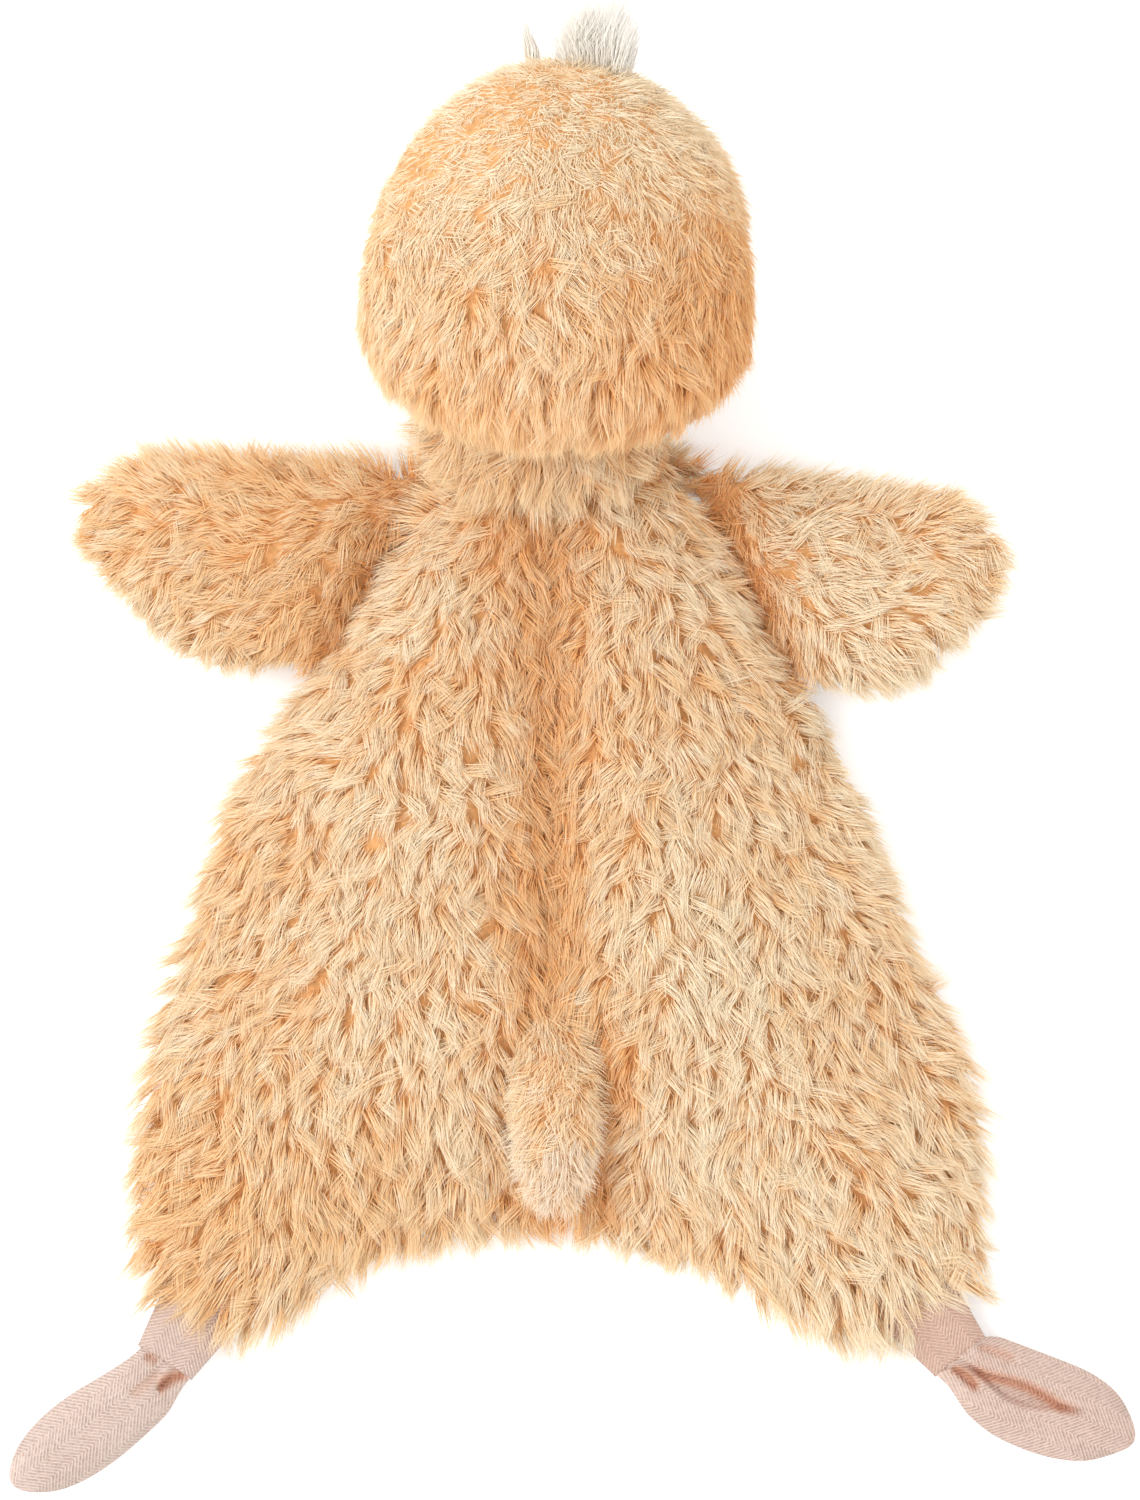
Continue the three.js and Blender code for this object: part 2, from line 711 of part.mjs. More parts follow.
const foot = {
  cloth: twillCloth,
  material: twill,
  rootWidth: ankleWidth,
  length: footLength,
  width: footWidth,
  rise: footRise,
  underShare: 1,
  riseShares: footRiseShares,
  leadShares: footEdgeShares,
  trailShares: footEdgeShares.map((share) => -share),
  seamRadius: ankleSeamRadius,
  fillingMarginSteps: footFillingMarginSteps,
  columns: footColumns,
  rows: footRows,
};
const footTurns = { left: leftFootTurn, right: rightFootTurn };
const footPleats = { left: leftFootPleats, right: rightFootPleats };
for (const { name, side, legFrame, footFrame } of sides) {
  const legSpaces = [
    seamSpace(legSeamRadius, legRootWidth),
    turningSpace(-side, legRootWidth, outerWedge),
    seamSpace(ankleSeamRadius, ankleWidth).translate(side * legLength, 0, 0),
    turningSpace(side, ankleWidth, innerWedge).translate(side * legLength, 0, 0),
  ];
  addPiece(`${name}_leg_seam`, seamRoll(legSeamRadius, legRootWidth), seamThread, legFrame);
  addPiece(`${name}_leg`, cut(legTube(side), legSpaces), twill, legFrame);
  const own = { ...foot, turn: footTurns[name], pleats: footPleats[name] };
  addLimb(footFrame, side, own, {
    roll: `${name}_ankle_seam`,
    top: `${name}_foot_top`,
    under: `${name}_foot_under`,
    filling: `${name}_foot_padding`,
  });
}

export default toy;
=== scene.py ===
"""The looks of a plush bird comfort blanket that lies on its belly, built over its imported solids."""

import json
import math

import bmesh
import bpy
import numpy as np
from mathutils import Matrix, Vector, noise


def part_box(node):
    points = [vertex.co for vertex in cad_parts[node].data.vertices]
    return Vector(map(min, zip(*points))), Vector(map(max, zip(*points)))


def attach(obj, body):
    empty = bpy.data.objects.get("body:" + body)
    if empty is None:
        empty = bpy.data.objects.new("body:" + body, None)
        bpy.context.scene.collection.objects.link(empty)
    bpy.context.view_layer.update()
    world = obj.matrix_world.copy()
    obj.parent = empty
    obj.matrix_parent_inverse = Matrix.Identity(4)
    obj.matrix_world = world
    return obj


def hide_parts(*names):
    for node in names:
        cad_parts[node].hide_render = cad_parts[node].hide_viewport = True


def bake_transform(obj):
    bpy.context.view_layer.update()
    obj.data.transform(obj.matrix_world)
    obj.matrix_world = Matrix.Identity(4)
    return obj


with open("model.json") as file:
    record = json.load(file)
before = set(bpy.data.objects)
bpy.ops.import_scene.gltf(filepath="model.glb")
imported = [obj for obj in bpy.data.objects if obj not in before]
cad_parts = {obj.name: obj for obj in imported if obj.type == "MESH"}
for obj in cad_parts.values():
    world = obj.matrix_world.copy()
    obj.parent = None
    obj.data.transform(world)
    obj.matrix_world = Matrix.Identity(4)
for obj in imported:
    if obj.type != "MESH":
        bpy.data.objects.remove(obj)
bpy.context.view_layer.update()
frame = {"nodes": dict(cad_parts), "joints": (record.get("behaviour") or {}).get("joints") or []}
chance = np.random.default_rng(12)
MM = 0.001

# Body: a flat bag of long plush, sewn from two back panels and a belly panel and thinly stuffed.
# It swells into two lobes beside the centre-back seam and lies flat underneath. The pile is knitted
# into the backing in small locks that lie towards the hem and fan out at the sides.
BODY_VOXEL = 2 * MM
FILLING_PRESSURE = 4
RELAX_FACTOR = 0.5
RELAX_TIMES = 3
BODY_SWELL_CAP = 2 * MM
BELLY_LIFT = 1.8 * MM
FLOOR_CLEARANCE = 0.3 * MM
SIMULATED_FRAMES = 20

STRAND_BEND = 0.45
STRAND_WIDTH = 0.24 * MM
STRANDS_PER_LOCK = 34
STRAND_SHORTEST = 0.6
STRAND_LONGER = 0.45
STRAND_STRAY = 0.45 * MM
LOOSE_STRAY = 0.9 * MM
LOCK_ROOT_RADIUS = 1.6 * MM
ROOT_DEPTH = 1.6 * MM
LOCK_LENGTH = 9.4 * MM
LOCK_SHORTEST = 0.85
LOCK_LONGER = 0.3
ROOT_LIFT = math.radians(54)
TIP_LIFT = math.radians(23)
LOCK_GATHER = 0.64
LOOSE_GATHER = 1.15
SOFT_SHADE = 0.5
SKY_SHARE = 0.7
CURL = 1.5 * MM
BEND_SPREAD = 0.9
LOOSE_BEND_SPREAD = 0.15
BEND_CURL = -0.35
BEND_STRAY = 0.5
TRIANGLES_PER_PIECE = 190000
TRIANGLES_PER_STRAND = 6
TURN_ON_MAP = 0.006

BACK_SPACING = 2.06 * MM
BELLY_SPACING = 4.5 * MM
LAY_WANDER = math.radians(27)
LAY_JITTER = math.radians(17)
LAY_PATCHES = 85
TONE_PATCHES = 34
PATCH_TONES = 0.42
LOCK_TONES = 0.18
STRAND_TONES = 0.12
TRIES_PER_PLACE = 4

PILE_ROOT = (0.95, 0.47, 0.17, 1)
PILE_MIDDLE = (0.97, 0.66, 0.37, 1)
PILE_TIP = (0.98, 0.86, 0.66, 1)
PILE_DARK_LOCK = (0.97, 0.80, 0.60, 1)
PILE_PALE_LOCK = (1.0, 1.0, 1.0, 1)
# The backing's orange is darkened by painted shade, to look like the shade among the pile's roots.
BACKING_SHADED_COLOUR = (0.84, 0.45, 0.19, 1)
BACKING_DEEPER = 0.7
BACKING_LOOPS = 900
CLOTH_SPECULAR = 0.08


def new_material(name, roughness, sheen=0.0):
    """An empty cloth material and its shader, with the uniform values on the shader's own sockets."""
    material = bpy.data.materials.new(name)
    material.use_nodes = True
    shader = material.node_tree.nodes["Principled BSDF"]
    shader.inputs["Roughness"].default_value = roughness
    shader.inputs["Specular IOR Level"].default_value = CLOTH_SPECULAR
    shader.inputs["Sheen Weight"].default_value = sheen
    shader.inputs["Sheen Roughness"].default_value = 0.5
    return material, material.node_tree, shader


def colour_ramp(tree, value, stops):
    """Colours that follow a value, as (place, colour) stops."""
    ramp = tree.nodes.new("ShaderNodeValToRGB")
    tree.links.new(value, ramp.inputs["Fac"])
    ramp.color_ramp.elements.remove(ramp.color_ramp.elements[0])
    for index, (place, colour) in enumerate(stops):
        stop = ramp.color_ramp.elements[0] if index == 0 else ramp.color_ramp.elements.new(place)
        stop.position = place
        stop.color = colour
    return ramp.outputs["Color"]


def multiplied(tree, first, second):
    """The product of two colours."""
    mix = tree.nodes.new("ShaderNodeMix")
    mix.data_type = "RGBA"
    mix.blend_type = "MULTIPLY"
    mix.inputs["Factor"].default_value = 1
    tree.links.new(first, mix.inputs["A"])
    tree.links.new(second, mix.inputs["B"])
    return mix.outputs["Result"]


def place_parts(tree, map_name=None):
    """The parts of a point's place, on this map of its mesh or else in its own coordinates."""
    place = tree.nodes.new("ShaderNodeUVMap" if map_name else "ShaderNodeTexCoord")
    if map_name:
        place.uv_map = map_name
    parts = tree.nodes.new("ShaderNodeSeparateXYZ")
    tree.links.new(place.outputs["UV" if map_name else "Object"], parts.inputs["Vector"])
    return parts.outputs


def unevenness(tree, scale):
    """A value that wanders over the piece, faster at a larger scale."""
    place = tree.nodes.new("ShaderNodeTexCoord")
    texture = tree.nodes.new("ShaderNodeTexNoise")
    texture.inputs["Scale"].default_value = scale
    tree.links.new(place.outputs["Object"], texture.inputs["Vector"])
    return texture.outputs["Fac"]


def pile_material(name, root, middle, tip, dark, pale):
    """Long pile, deeper in colour at its roots, with darker and paler locks."""
    material, tree, shader = new_material(name, roughness=0.95)
    parts = place_parts(tree, "OFBake")
    along = colour_ramp(tree, parts["Y"], [(0, root), (0.4, middle), (0.68, tip)])
    lock = colour_ramp(tree, parts["X"], [(0, dark), (0.75, pale)])
    tree.links.new(multiplied(tree, along, lock), shader.inputs["Base Color"])
    return material


def backing_material():
    """The knitted backing between the roots of the pile, its orange darkened by painted shade like the shaded
    roots.
    """
    material, tree, shader = new_material("knitted_backing", roughness=0.95)
    deep = tuple(BACKING_DEEPER * part for part in BACKING_SHADED_COLOUR[:3]) + (1,)
    colour = colour_ramp(tree, unevenness(tree, BACKING_LOOPS), [(0.3, deep), (0.7, BACKING_SHADED_COLOUR)])
    tree.links.new(colour, shader.inputs["Base Color"])
    return material


plush = pile_material("plush_pile", PILE_ROOT, PILE_MIDDLE, PILE_TIP, PILE_DARK_LOCK, PILE_PALE_LOCK)
backing = backing_material()


def new_piece(name, mesh, material):
    """A piece of the toy, at the origin, with its place in its mesh."""
    piece = bpy.data.objects.new(name, mesh)
    bpy.context.scene.collection.objects.link(piece)
    mesh.materials.append(material)
    mesh.shade_smooth()
    return piece


def mesh_of(form, name):
    """A mesh made of a form, which is freed."""
    mesh = bpy.data.meshes.new(name)
    form.to_mesh(mesh)
    form.free()
    return mesh


def finished_mesh(piece):
    """Gives the piece a mesh with its modifiers applied."""
    graph = bpy.context.evaluated_depsgraph_get()
    mesh = bpy.data.meshes.new_from_object(piece.evaluated_get(graph), depsgraph=graph)
    piece.modifiers.clear()
    piece.data = mesh


def largest_shell(mesh):
    """Leaves only the outermost of the mesh's closed shells."""
    form = bmesh.new()
    form.from_mesh(mesh)
    shells = []
    waiting = set(form.verts)
    while waiting:
        shell = set()
        edge = [waiting.pop()]
        while edge:
            vertex = edge.pop()
            shell.add(vertex)
            near = {side.other_vert(vertex) for side in vertex.link_edges} & waiting
            waiting -= near
            edge.extend(near)
        shells.append(shell)
    shells.sort(key=len)
    inner = [vertex for shell in shells[:-1] for vertex in shell]
    bmesh.ops.delete(form, geom=inner, context="VERTS")
    form.to_mesh(mesh)
    form.free()


def stuffed(piece, cap):
    """Blows the cloth up with its filling, for at most this far."""
    before = np.array([vertex.co for vertex in piece.data.vertices])
    cloth = piece.modifiers.new("filling", "CLOTH")
    cloth.settings.use_pressure = True
    cloth.settings.uniform_pressure_force = FILLING_PRESSURE
    cloth.settings.effector_weights.gravity = 0
    for step in range(1, SIMULATED_FRAMES + 1):
        bpy.context.scene.frame_set(step)
    finished_mesh(piece)
    bpy.context.scene.frame_set(1)
    after = np.array([vertex.co for vertex in piece.data.vertices])
    move = after - before
    far = np.maximum(np.linalg.norm(move, axis=1, keepdims=True) / cap, 1)
    piece.data.vertices.foreach_set("co", (before + move / far).ravel())


def skin_over(name, nodes, voxel, cap):
    """One closed skin over a padded form's cloth and filling, blown up a little by its filling."""
    form = bmesh.new()
    for node in nodes:
        form.from_mesh(frame["nodes"][node].data)
    bmesh.ops.remove_doubles(form, verts=form.verts, dist=0.001 * MM)
    piece = new_piece(name, mesh_of(form, name), backing)
    remesh = piece.modifiers.new("one_skin", "REMESH")
    remesh.mode = "VOXEL"
    remesh.voxel_size = voxel
    finished_mesh(piece)
    largest_shell(piece.data)
    stuffed(piece, cap)
    relax = piece.modifiers.new("relax", "SMOOTH")
    relax.factor = RELAX_FACTOR
    relax.iterations = RELAX_TIMES
    finished_mesh(piece)
    piece.data.materials.clear()
    piece.data.materials.append(backing)
    piece.data.shade_smooth()
    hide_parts(*nodes)
    return piece


def strand_shape():
    """One hair: a closed three-sided sliver, 1 long, thickest where it bends and pointed at both ends."""
    form = bmesh.new()
    bmesh.ops.create_cone(form, cap_ends=True, segments=3, radius1=0.5, radius2=0, depth=1 - STRAND_BEND)
    bmesh.ops.translate(form, verts=form.verts, vec=(0, 0, (1 + STRAND_BEND) / 2))
    bmesh.ops.remove_doubles(form, verts=form.verts, dist=0.001)
    base = min(form.faces, key=lambda face: face.calc_center_median().z)
    root = bmesh.ops.poke(form, faces=[base])["verts"]
    bmesh.ops.translate(form, verts=root, vec=(0, 0, -STRAND_BEND))
    form.verts.index_update()
    corners = np.array([vertex.co for vertex in form.verts])
    faces = [[vertex.index for vertex in face.verts] for face in form.faces]
    form.free()
    facing = []
    for face in faces:
        for corner in face:
            on_point = np.abs(corners[corner, :2]).max() < 0.01
            facing.append(corners[face, :2].sum(axis=0) if on_point else corners[corner, :2])
    facing = np.array(facing)
    return corners, faces, facing / np.linalg.norm(facing, axis=1, keepdims=True)


strand_corners, strand_faces, strand_facing = strand_shape()


def scattered(skin, spacing_of):
    """Points spread evenly over a skin, with its normal at each, no nearer than their spacing."""
    mesh = skin.data
    mesh.calc_loop_triangles()
    places = np.array([vertex.co for vertex in mesh.vertices])
    normals = np.array([vertex.normal for vertex in mesh.vertices])
    corners = np.array([triangle.vertices for triangle in mesh.loop_triangles])
    areas = np.array([triangle.area for triangle in mesh.loop_triangles])
    closest = min(spacing_of(Vector((0, 0, 1))), spacing_of(Vector((0, 0, -1))))
    tries = int(areas.sum() / closest**2 * TRIES_PER_PLACE)
    picked = chance.choice(len(areas), size=tries, p=areas / areas.sum())
    first = np.sqrt(chance.random(tries))
    second = chance.random(tries)
    weights = np.stack([1 - first, first * (1 - second), first * second], axis=1)[:, :, None]
    points = (places[corners[picked]] * weights).sum(axis=1)
    upward = (normals[corners[picked]] * weights).sum(axis=1)
    upward /= np.linalg.norm(upward, axis=1, keepdims=True)
    taken = {}
    kept = []
    reach = (-1, 0, 1)
    for index, (point, normal) in enumerate(zip(points, upward)):
        spacing = spacing_of(normal)
        cell = tuple(int(part // spacing) for part in point)
        near = [
            other
            for x in reach
            for y in reach
            for z in reach
            for other in taken.get((cell[0] + x, cell[1] + y, cell[2] + z), ())
        ]
        if all(((points[other] - point) ** 2).sum() > spacing**2 for other in near):
            taken.setdefault(cell, []).append(index)
            kept.append(index)
    return points[kept], upward[kept]


def unit(vectors):
    """The vectors, each 1 long."""
    return vectors / np.maximum(np.linalg.norm(vectors, axis=-1, keepdims=True), 1e-9)


def strand_mesh(name, roots, bends, tips, ups, width, shades, pales, material):
    """A piece of strands that run from root to tip through a bend, each shaded a little towards its up.

    Its shade and how pale its root is are in its UV map.
    """
    count = len(roots)
    heights = strand_corners[:, 2]
    along = unit(tips - roots)
    turned = chance.random((count, 1)) * 2 * np.pi
    helper = unit(np.cross(along, np.array([0.31, 0.87, 0.38])))
    across = np.cos(turned) * helper + np.sin(turned) * np.cross(along, helper)
    beside = np.cross(along, across)
    line = np.where(
        (heights < 0.01)[None, :, None],
        roots[:, None, :],
        np.where((heights > 0.99)[None, :, None], tips[:, None, :], bends[:, None, :]),
    )
    corners = line + width * (
        strand_corners[None, :, 0, None] * across[:, None, :]
        + strand_corners[None, :, 1, None] * beside[:, None, :]
    )
    corners[:, :, 2] = np.maximum(corners[:, :, 2], FLOOR_CLEARANCE)
    per_strand = len(strand_corners)
    sizes = np.array([len(face) for face in strand_faces])
    loops = np.concatenate([np.array(face) for face in strand_faces])
    all_loops = (loops[None, :] + per_strand * np.arange(count)[:, None]).ravel()
    starts = np.concatenate([[0], np.cumsum(np.tile(sizes, count))[:-1]])
    mesh = bpy.data.meshes.new(name)
    mesh.vertices.add(count * per_strand)
    mesh.vertices.foreach_set("co", corners.astype(np.float32).ravel())
    mesh.loops.add(len(all_loops))
    mesh.loops.foreach_set("vertex_index", all_loops.astype(np.int32))
    mesh.polygons.add(len(starts))
    mesh.polygons.foreach_set("loop_start", starts.astype(np.int32))
    turn = np.arctan2(strand_corners[:, 1], strand_corners[:, 0]) / np.pi
    u = np.clip(shades[:, None] + TURN_ON_MAP * turn[None, :], 0, 1)
    palest, deepest = np.maximum(pales, 0)[:, None], np.minimum(pales, 0)[:, None]
    v = heights + palest * (1 - heights) + deepest * heights
    places = np.stack([u, v], axis=-1).reshape(-1, 2)[all_loops]
    layer = mesh.uv_layers.new(name="OFBake")
    layer.data.foreach_set("uv", places.astype(np.float32).ravel())
    mesh.update(calc_edges=True)
    piece = new_piece(name, mesh, material)
    rounded = (
        strand_facing[None, :, 0, None] * across[:, None, :]
        + strand_facing[None, :, 1, None] * beside[:, None, :]
    )
    mesh.normals_split_custom_set(unit(rounded + SOFT_SHADE * ups[:, None, :]).reshape(-1, 3))
    return piece


def grown_pile(
    name,
    points,
    normals,
    lays,
    lengths,
    material,
    lifts=(ROOT_LIFT, TIP_LIFT),
    fuzz=0.0,
    deeper=0.0,
    paler=0.0,
    sky_share=SKY_SHARE,
):
    """Pieces of pile: at each point a lock of strands that stands up and bends over along its lay.

    The fuzz, for all locks or for each, is 0 where the strands keep to their lock, 1 where they fly apart
    and below 0 where they draw to a point. A lock that is deeper, up to 1, is darker in colour, and one
    that is paler, up to 1, has paler roots, and from below 0 down to -1 it is deep in colour to its tips.
    """
    strands = STRANDS_PER_LOCK
    fuzz = np.broadcast_to(fuzz, len(points))
    deeper = np.broadcast_to(deeper, len(points))
    paler = np.clip(np.broadcast_to(paler, len(points)), -1, 1)
    shaded_up = unit(normals + sky_share * np.array([0.0, 0.0, 1.0]))
    order = np.argsort(points[:, 1] + 0.2 * points[:, 0])
    per_piece = TRIANGLES_PER_PIECE // (TRIANGLES_PER_STRAND * strands)
    pieces = []
    for start in range(0, len(order), per_piece):
        chosen = order[start : start + per_piece]
        up = normals[chosen][:, None, :]
        lay = lays[chosen][:, None, :]
        side = np.cross(up, lay)
        root_lift, tip_lift = (np.broadcast_to(lift, len(points))[chosen, None, None] for lift in lifts)
        size = (len(chosen), strands, 1)
        away = LOCK_ROOT_RADIUS * np.sqrt(chance.random(size))
        angle = 2 * np.pi * chance.random(size)
        spread = away * (np.cos(angle) * side + np.sin(angle) * lay)
        length = lengths[chosen][:, None, None] * (STRAND_SHORTEST + STRAND_LONGER * chance.random(size))
        root = points[chosen][:, None, :] + spread - ROOT_DEPTH * up
        rise = length * STRAND_BEND * (np.cos(root_lift) * lay + np.sin(root_lift) * up)
        fall = length * (1 - STRAND_BEND) * (np.cos(tip_lift) * lay + np.sin(tip_lift) * up)
        curl = CURL * chance.standard_normal((len(chosen), 1, 1)) * side
        loose = fuzz[chosen][:, None, None]
        stray = (STRAND_STRAY + LOOSE_STRAY * loose) * chance.standard_normal((len(chosen), strands, 3))
        centre = points[chosen][:, None, :] - ROOT_DEPTH * up
        gather = LOCK_GATHER + (LOOSE_GATHER - LOCK_GATHER) * loose
        bend = centre + spread * (BEND_SPREAD + LOOSE_BEND_SPREAD * loose)
        bend += rise + BEND_CURL * curl + BEND_STRAY * stray
        tip = centre + spread * gather + rise + fall + curl + stray
        patch = np.array([noise.noise(Vector(point) * TONE_PATCHES) for point in points[chosen]])
        tone = 0.5 - 0.5 * deeper[chosen] + PATCH_TONES * patch
        tone += LOCK_TONES * chance.standard_normal(len(chosen))
        tones = tone[:, None] + STRAND_TONES * chance.standard_normal((len(chosen), strands))
        tones = np.clip(tones, 0.01, 0.98)
        pieces.append(
            strand_mesh(
                f"{name}_{len(pieces) + 1}",
                root.reshape(-1, 3),
                bend.reshape(-1, 3),
                tip.reshape(-1, 3),
                np.repeat(shaded_up[chosen], strands, axis=0),
                STRAND_WIDTH,
                tones.ravel(),
                np.repeat(paler[chosen], strands),
                material,
            )
        )
    return pieces


def laid_along(points, normals, wanted, wander_by=LAY_WANDER):
    """Directions along the skin, near the wanted ones, that wander from lock to lock."""
    flat = unit(wanted - (wanted * normals).sum(axis=1, keepdims=True) * normals)
    wander = np.array([noise.noise(Vector(point) * LAY_PATCHES + Vector((3, 7, 1))) for point in points])
    turn = (2 * wander_by * wander + LAY_JITTER * chance.standard_normal(len(points)))[:, None]
    return np.cos(turn) * flat + np.sin(turn) * np.cross(normals, flat)


def nearness(points, place, reach):
    """1 at a place on the back and 0 beyond its reach, for each point."""
    return np.clip(1 - np.hypot(points[:, 0] - place[0], points[:, 1] - place[1]) / reach, 0, 1)


def lengths_near(count, length):
    """The length of each lock, some shorter and some longer."""
    return length * (LOCK_SHORTEST + LOCK_LONGER * chance.random(count))


def hump(values, place, width, power=2):
    """1 at a place, falling off smoothly at about its width to either side."""
    return np.exp(-(((values - place) / width) ** power))


def of_side(points, shares):
    """The left or the right share for each point."""
    return np.where(points[:, 0] < 0, shares["left"], shares["right"])


def weighed(weights, at):
    """What the parts of a form add up to: each part's weight times how far each point lies in it."""
    return sum(weight * at[part] for part, weight in weights.items())


def joint_named(name):
    """The joint of this name in the frame."""
    return next(joint for joint in frame["joints"] if joint["name"] == name)


body_nodes = ["back_panel_left", "back_panel_right", "belly_panel", "body_wadding"]
body = skin_over("body_backing", body_nodes, BODY_VOXEL, BODY_SWELL_CAP)
VALLEY_DEPTH = 3 * MM
VALLEY_WIDTH = 9 * MM
for vertex in body.data.vertices:
    if vertex.normal.z > 0:
        vertex.co.z -= VALLEY_DEPTH * math.exp(-((vertex.co.x / VALLEY_WIDTH) ** 2)) * vertex.normal.z
    vertex.co.z = max(vertex.co.z, BELLY_LIFT)
body.data.update()
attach(body, "torso")


def body_spacing(normal):
    """The pile is sparser where it is pressed against what the toy lies on."""
    return BELLY_SPACING if normal[2] < -0.5 else BACK_SPACING


WIDTH_BANDS = 40
SHOULDER_CORNERS = ((-31 * MM, 62 * MM), (28 * MM, 61 * MM))
CORNER_SHARES = (1.3, 0.3)
CORNER_REACH = 14 * MM
TAIL_TOP = (-1 * MM, -53 * MM)
TAIL_TOP_REACH = 11 * MM
HEM_CORNERS_BELOW = -108 * MM
HEM_CORNERS_REACH = 12 * MM
LOW_SIDES_BELOW = 0 * MM
LOW_SIDES_REACH = 50 * MM
LOW_SIDE_SHARES = {"left": 0.6, "right": 0.5}
SHOULDER_FROM = 25 * MM
SHOULDER_REACH = 35 * MM
FAN_IN = 12
FAN_OUT = 58
FAN_OUT_AT_SHOULDER = 26
FAN_CURVE = 1.4
TO_CORNER = (0.9, 0.75)
CORNER_PULL = 2.5
TO_LEG = (0.15, -1)
LEG_PULL = 2
TAIL_PULL = 2.5
VALLEY_SHADE_PLACE = -3 * MM
VALLEY_SHADE_WIDTH = 11 * MM
WING_SEAM_SHADES = {"left": 0.2, "right": 1.1}
WING_SEAM_WIDTH = 4 * MM
WING_SEAM_HALF = 27 * MM
WAIST_PLACE = -5 * MM
WAIST_REACH = 18 * MM
WAIST_SHARES = {"left": 0.45, "right": -0.35}
TAIL_SHADE_PLACE = 11 * MM
TAIL_SHADE_WIDTH = 5 * MM
TAIL_SHADE_MIDDLE = -79 * MM
TAIL_SHADE_LENGTH = 22 * MM
# Places of painted light on the right lobe and of painted shade at the left foot of the body.
RIGHT_LOBE = (34 * MM, -32 * MM)
LEFT_FOOT_OF_BODY = (-72 * MM, -96 * MM)
LOBE_REACH = 42 * MM
BODY_ROOT_LIFTS = {"corner": 0.3, "above_tail": 0.2}
BODY_TIP_LIFTS = {"edge": math.radians(14), "corner": math.radians(30), "above_tail": 0.35}
BODY_LONGER = {
    "corner": 0.7,
    "above_tail": 0.6,
    "hem_corner": 0.45,
    "hem": 0.4,
    "low_side": 1,
    "waist": 1,
    "beside_tail": -0.35,
}
BODY_FUZZ = {"left_corner": 0.9, "right_corner": 0.9, "edge": 0.2}
BODY_LEAST_FUZZ = 0.15
# Painted shade and light in the pile's tone: deeper locks are painted shade in the centre-back valley, beside
# the tail, along the wing seams, at the right shoulder corner and at the left foot of the body, and paler
# locks are painted light on the right lobe.
BODY_PAINTED_SHADE_AND_LIGHT = {
    "valley_shade": 1.2,
    "beside_tail": 1.2,
    "wing_seam_shade": 1,
    "right_corner": 0.1,
    "left_foot": 1.3,
    "right_lobe_light": -0.6,
}
# Deep colour up to the tips is painted shade in the valley, beside the tail and along the wing seams; paler
# roots on the right lobe are painted light.
BODY_PAINTED_TIP_SHADE_AND_ROOT_LIGHT = {"right_lobe_light": 0.15, "valley_shade": -0.3, "beside_tail": -0.55, "wing_seam_shade": -0.8}
points, normals = scattered(body, body_spacing)
body_low, body_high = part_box("belly_panel")
band = ((points[:, 1] - body_low.y) / (body_high.y - body_low.y) * (WIDTH_BANDS - 1)).astype(int)
band = np.clip(band, 0, WIDTH_BANDS - 1)
half_widths = np.array([np.abs(points[np.abs(band - index) < 2, 0]).max() for index in range(WIDTH_BANDS)])
sideways = points[:, 0] / half_widths[band]
shoulder = np.clip((points[:, 1] - SHOULDER_FROM) / SHOULDER_REACH, 0, 1)
fan_out = (FAN_OUT + FAN_OUT_AT_SHOULDER * shoulder) * np.abs(sideways) ** FAN_CURVE
fan = np.radians(-FAN_IN + fan_out) * np.sign(sideways)
wanted = np.stack([np.sin(fan), -np.cos(fan), np.zeros(len(fan))], axis=1)
on_back = normals[:, 2] > 0
at_edge = 1 - np.abs(normals[:, 2])
at_hem = np.clip(-normals[:, 1], 0, 1)
left_corner, right_corner = (nearness(points, place, CORNER_REACH) for place in SHOULDER_CORNERS)
low_side = at_edge * np.clip((LOW_SIDES_BELOW - points[:, 1]) / LOW_SIDES_REACH, 0, 1) * (1 - at_hem)
beside_tail = hump(points[:, 0], TAIL_SHADE_PLACE, TAIL_SHADE_WIDTH)
beside_tail *= hump(points[:, 1], TAIL_SHADE_MIDDLE, TAIL_SHADE_LENGTH, power=4)
at = {
    "left_corner": left_corner,
    "right_corner": right_corner,
    "corner": np.maximum(CORNER_SHARES[0] * left_corner, CORNER_SHARES[1] * right_corner),
    "above_tail": nearness(points, TAIL_TOP, TAIL_TOP_REACH) * on_back,
    "hem_corner": np.clip((HEM_CORNERS_BELOW - points[:, 1]) / HEM_CORNERS_REACH, 0, 1),
    "hem": at_hem,
    "edge": at_edge,
    "low_side": low_side * of_side(points, LOW_SIDE_SHARES),
    "waist": at_edge * hump(points[:, 1], WAIST_PLACE, WAIST_REACH) * of_side(points, WAIST_SHARES),
    "valley_shade": hump(points[:, 0], VALLEY_SHADE_PLACE, VALLEY_SHADE_WIDTH) * on_back,
    "beside_tail": beside_tail * on_back,
    "right_lobe_light": nearness(points, RIGHT_LOBE, LOBE_REACH),
    "left_foot": nearness(points, LEFT_FOOT_OF_BODY, LOBE_REACH),
    "wing_seam_shade": np.zeros(len(points)),
}
for side_name, seam_shade in WING_SEAM_SHADES.items():
    hinge = joint_named(f"{side_name}_wing_flap")
    from_hinge = points - np.array(hinge["pos_m"])
    seam = unit(np.array(hinge["axis"]))
    off_seam = from_hinge[:, 0] * seam[1] - from_hinge[:, 1] * seam[0]
    beside_seam = np.abs(from_hinge @ seam) < WING_SEAM_HALF
    at["wing_seam_shade"] += seam_shade * hump(off_seam, 0, WING_SEAM_WIDTH) * beside_seam
outwards = np.sign(points[:, 0])
flat = np.zeros(len(points))
to_corner = np.stack([TO_CORNER[0] * outwards, flat + TO_CORNER[1], flat], axis=1)
to_leg = np.stack([TO_LEG[0] * outwards, flat + TO_LEG[1], flat], axis=1)
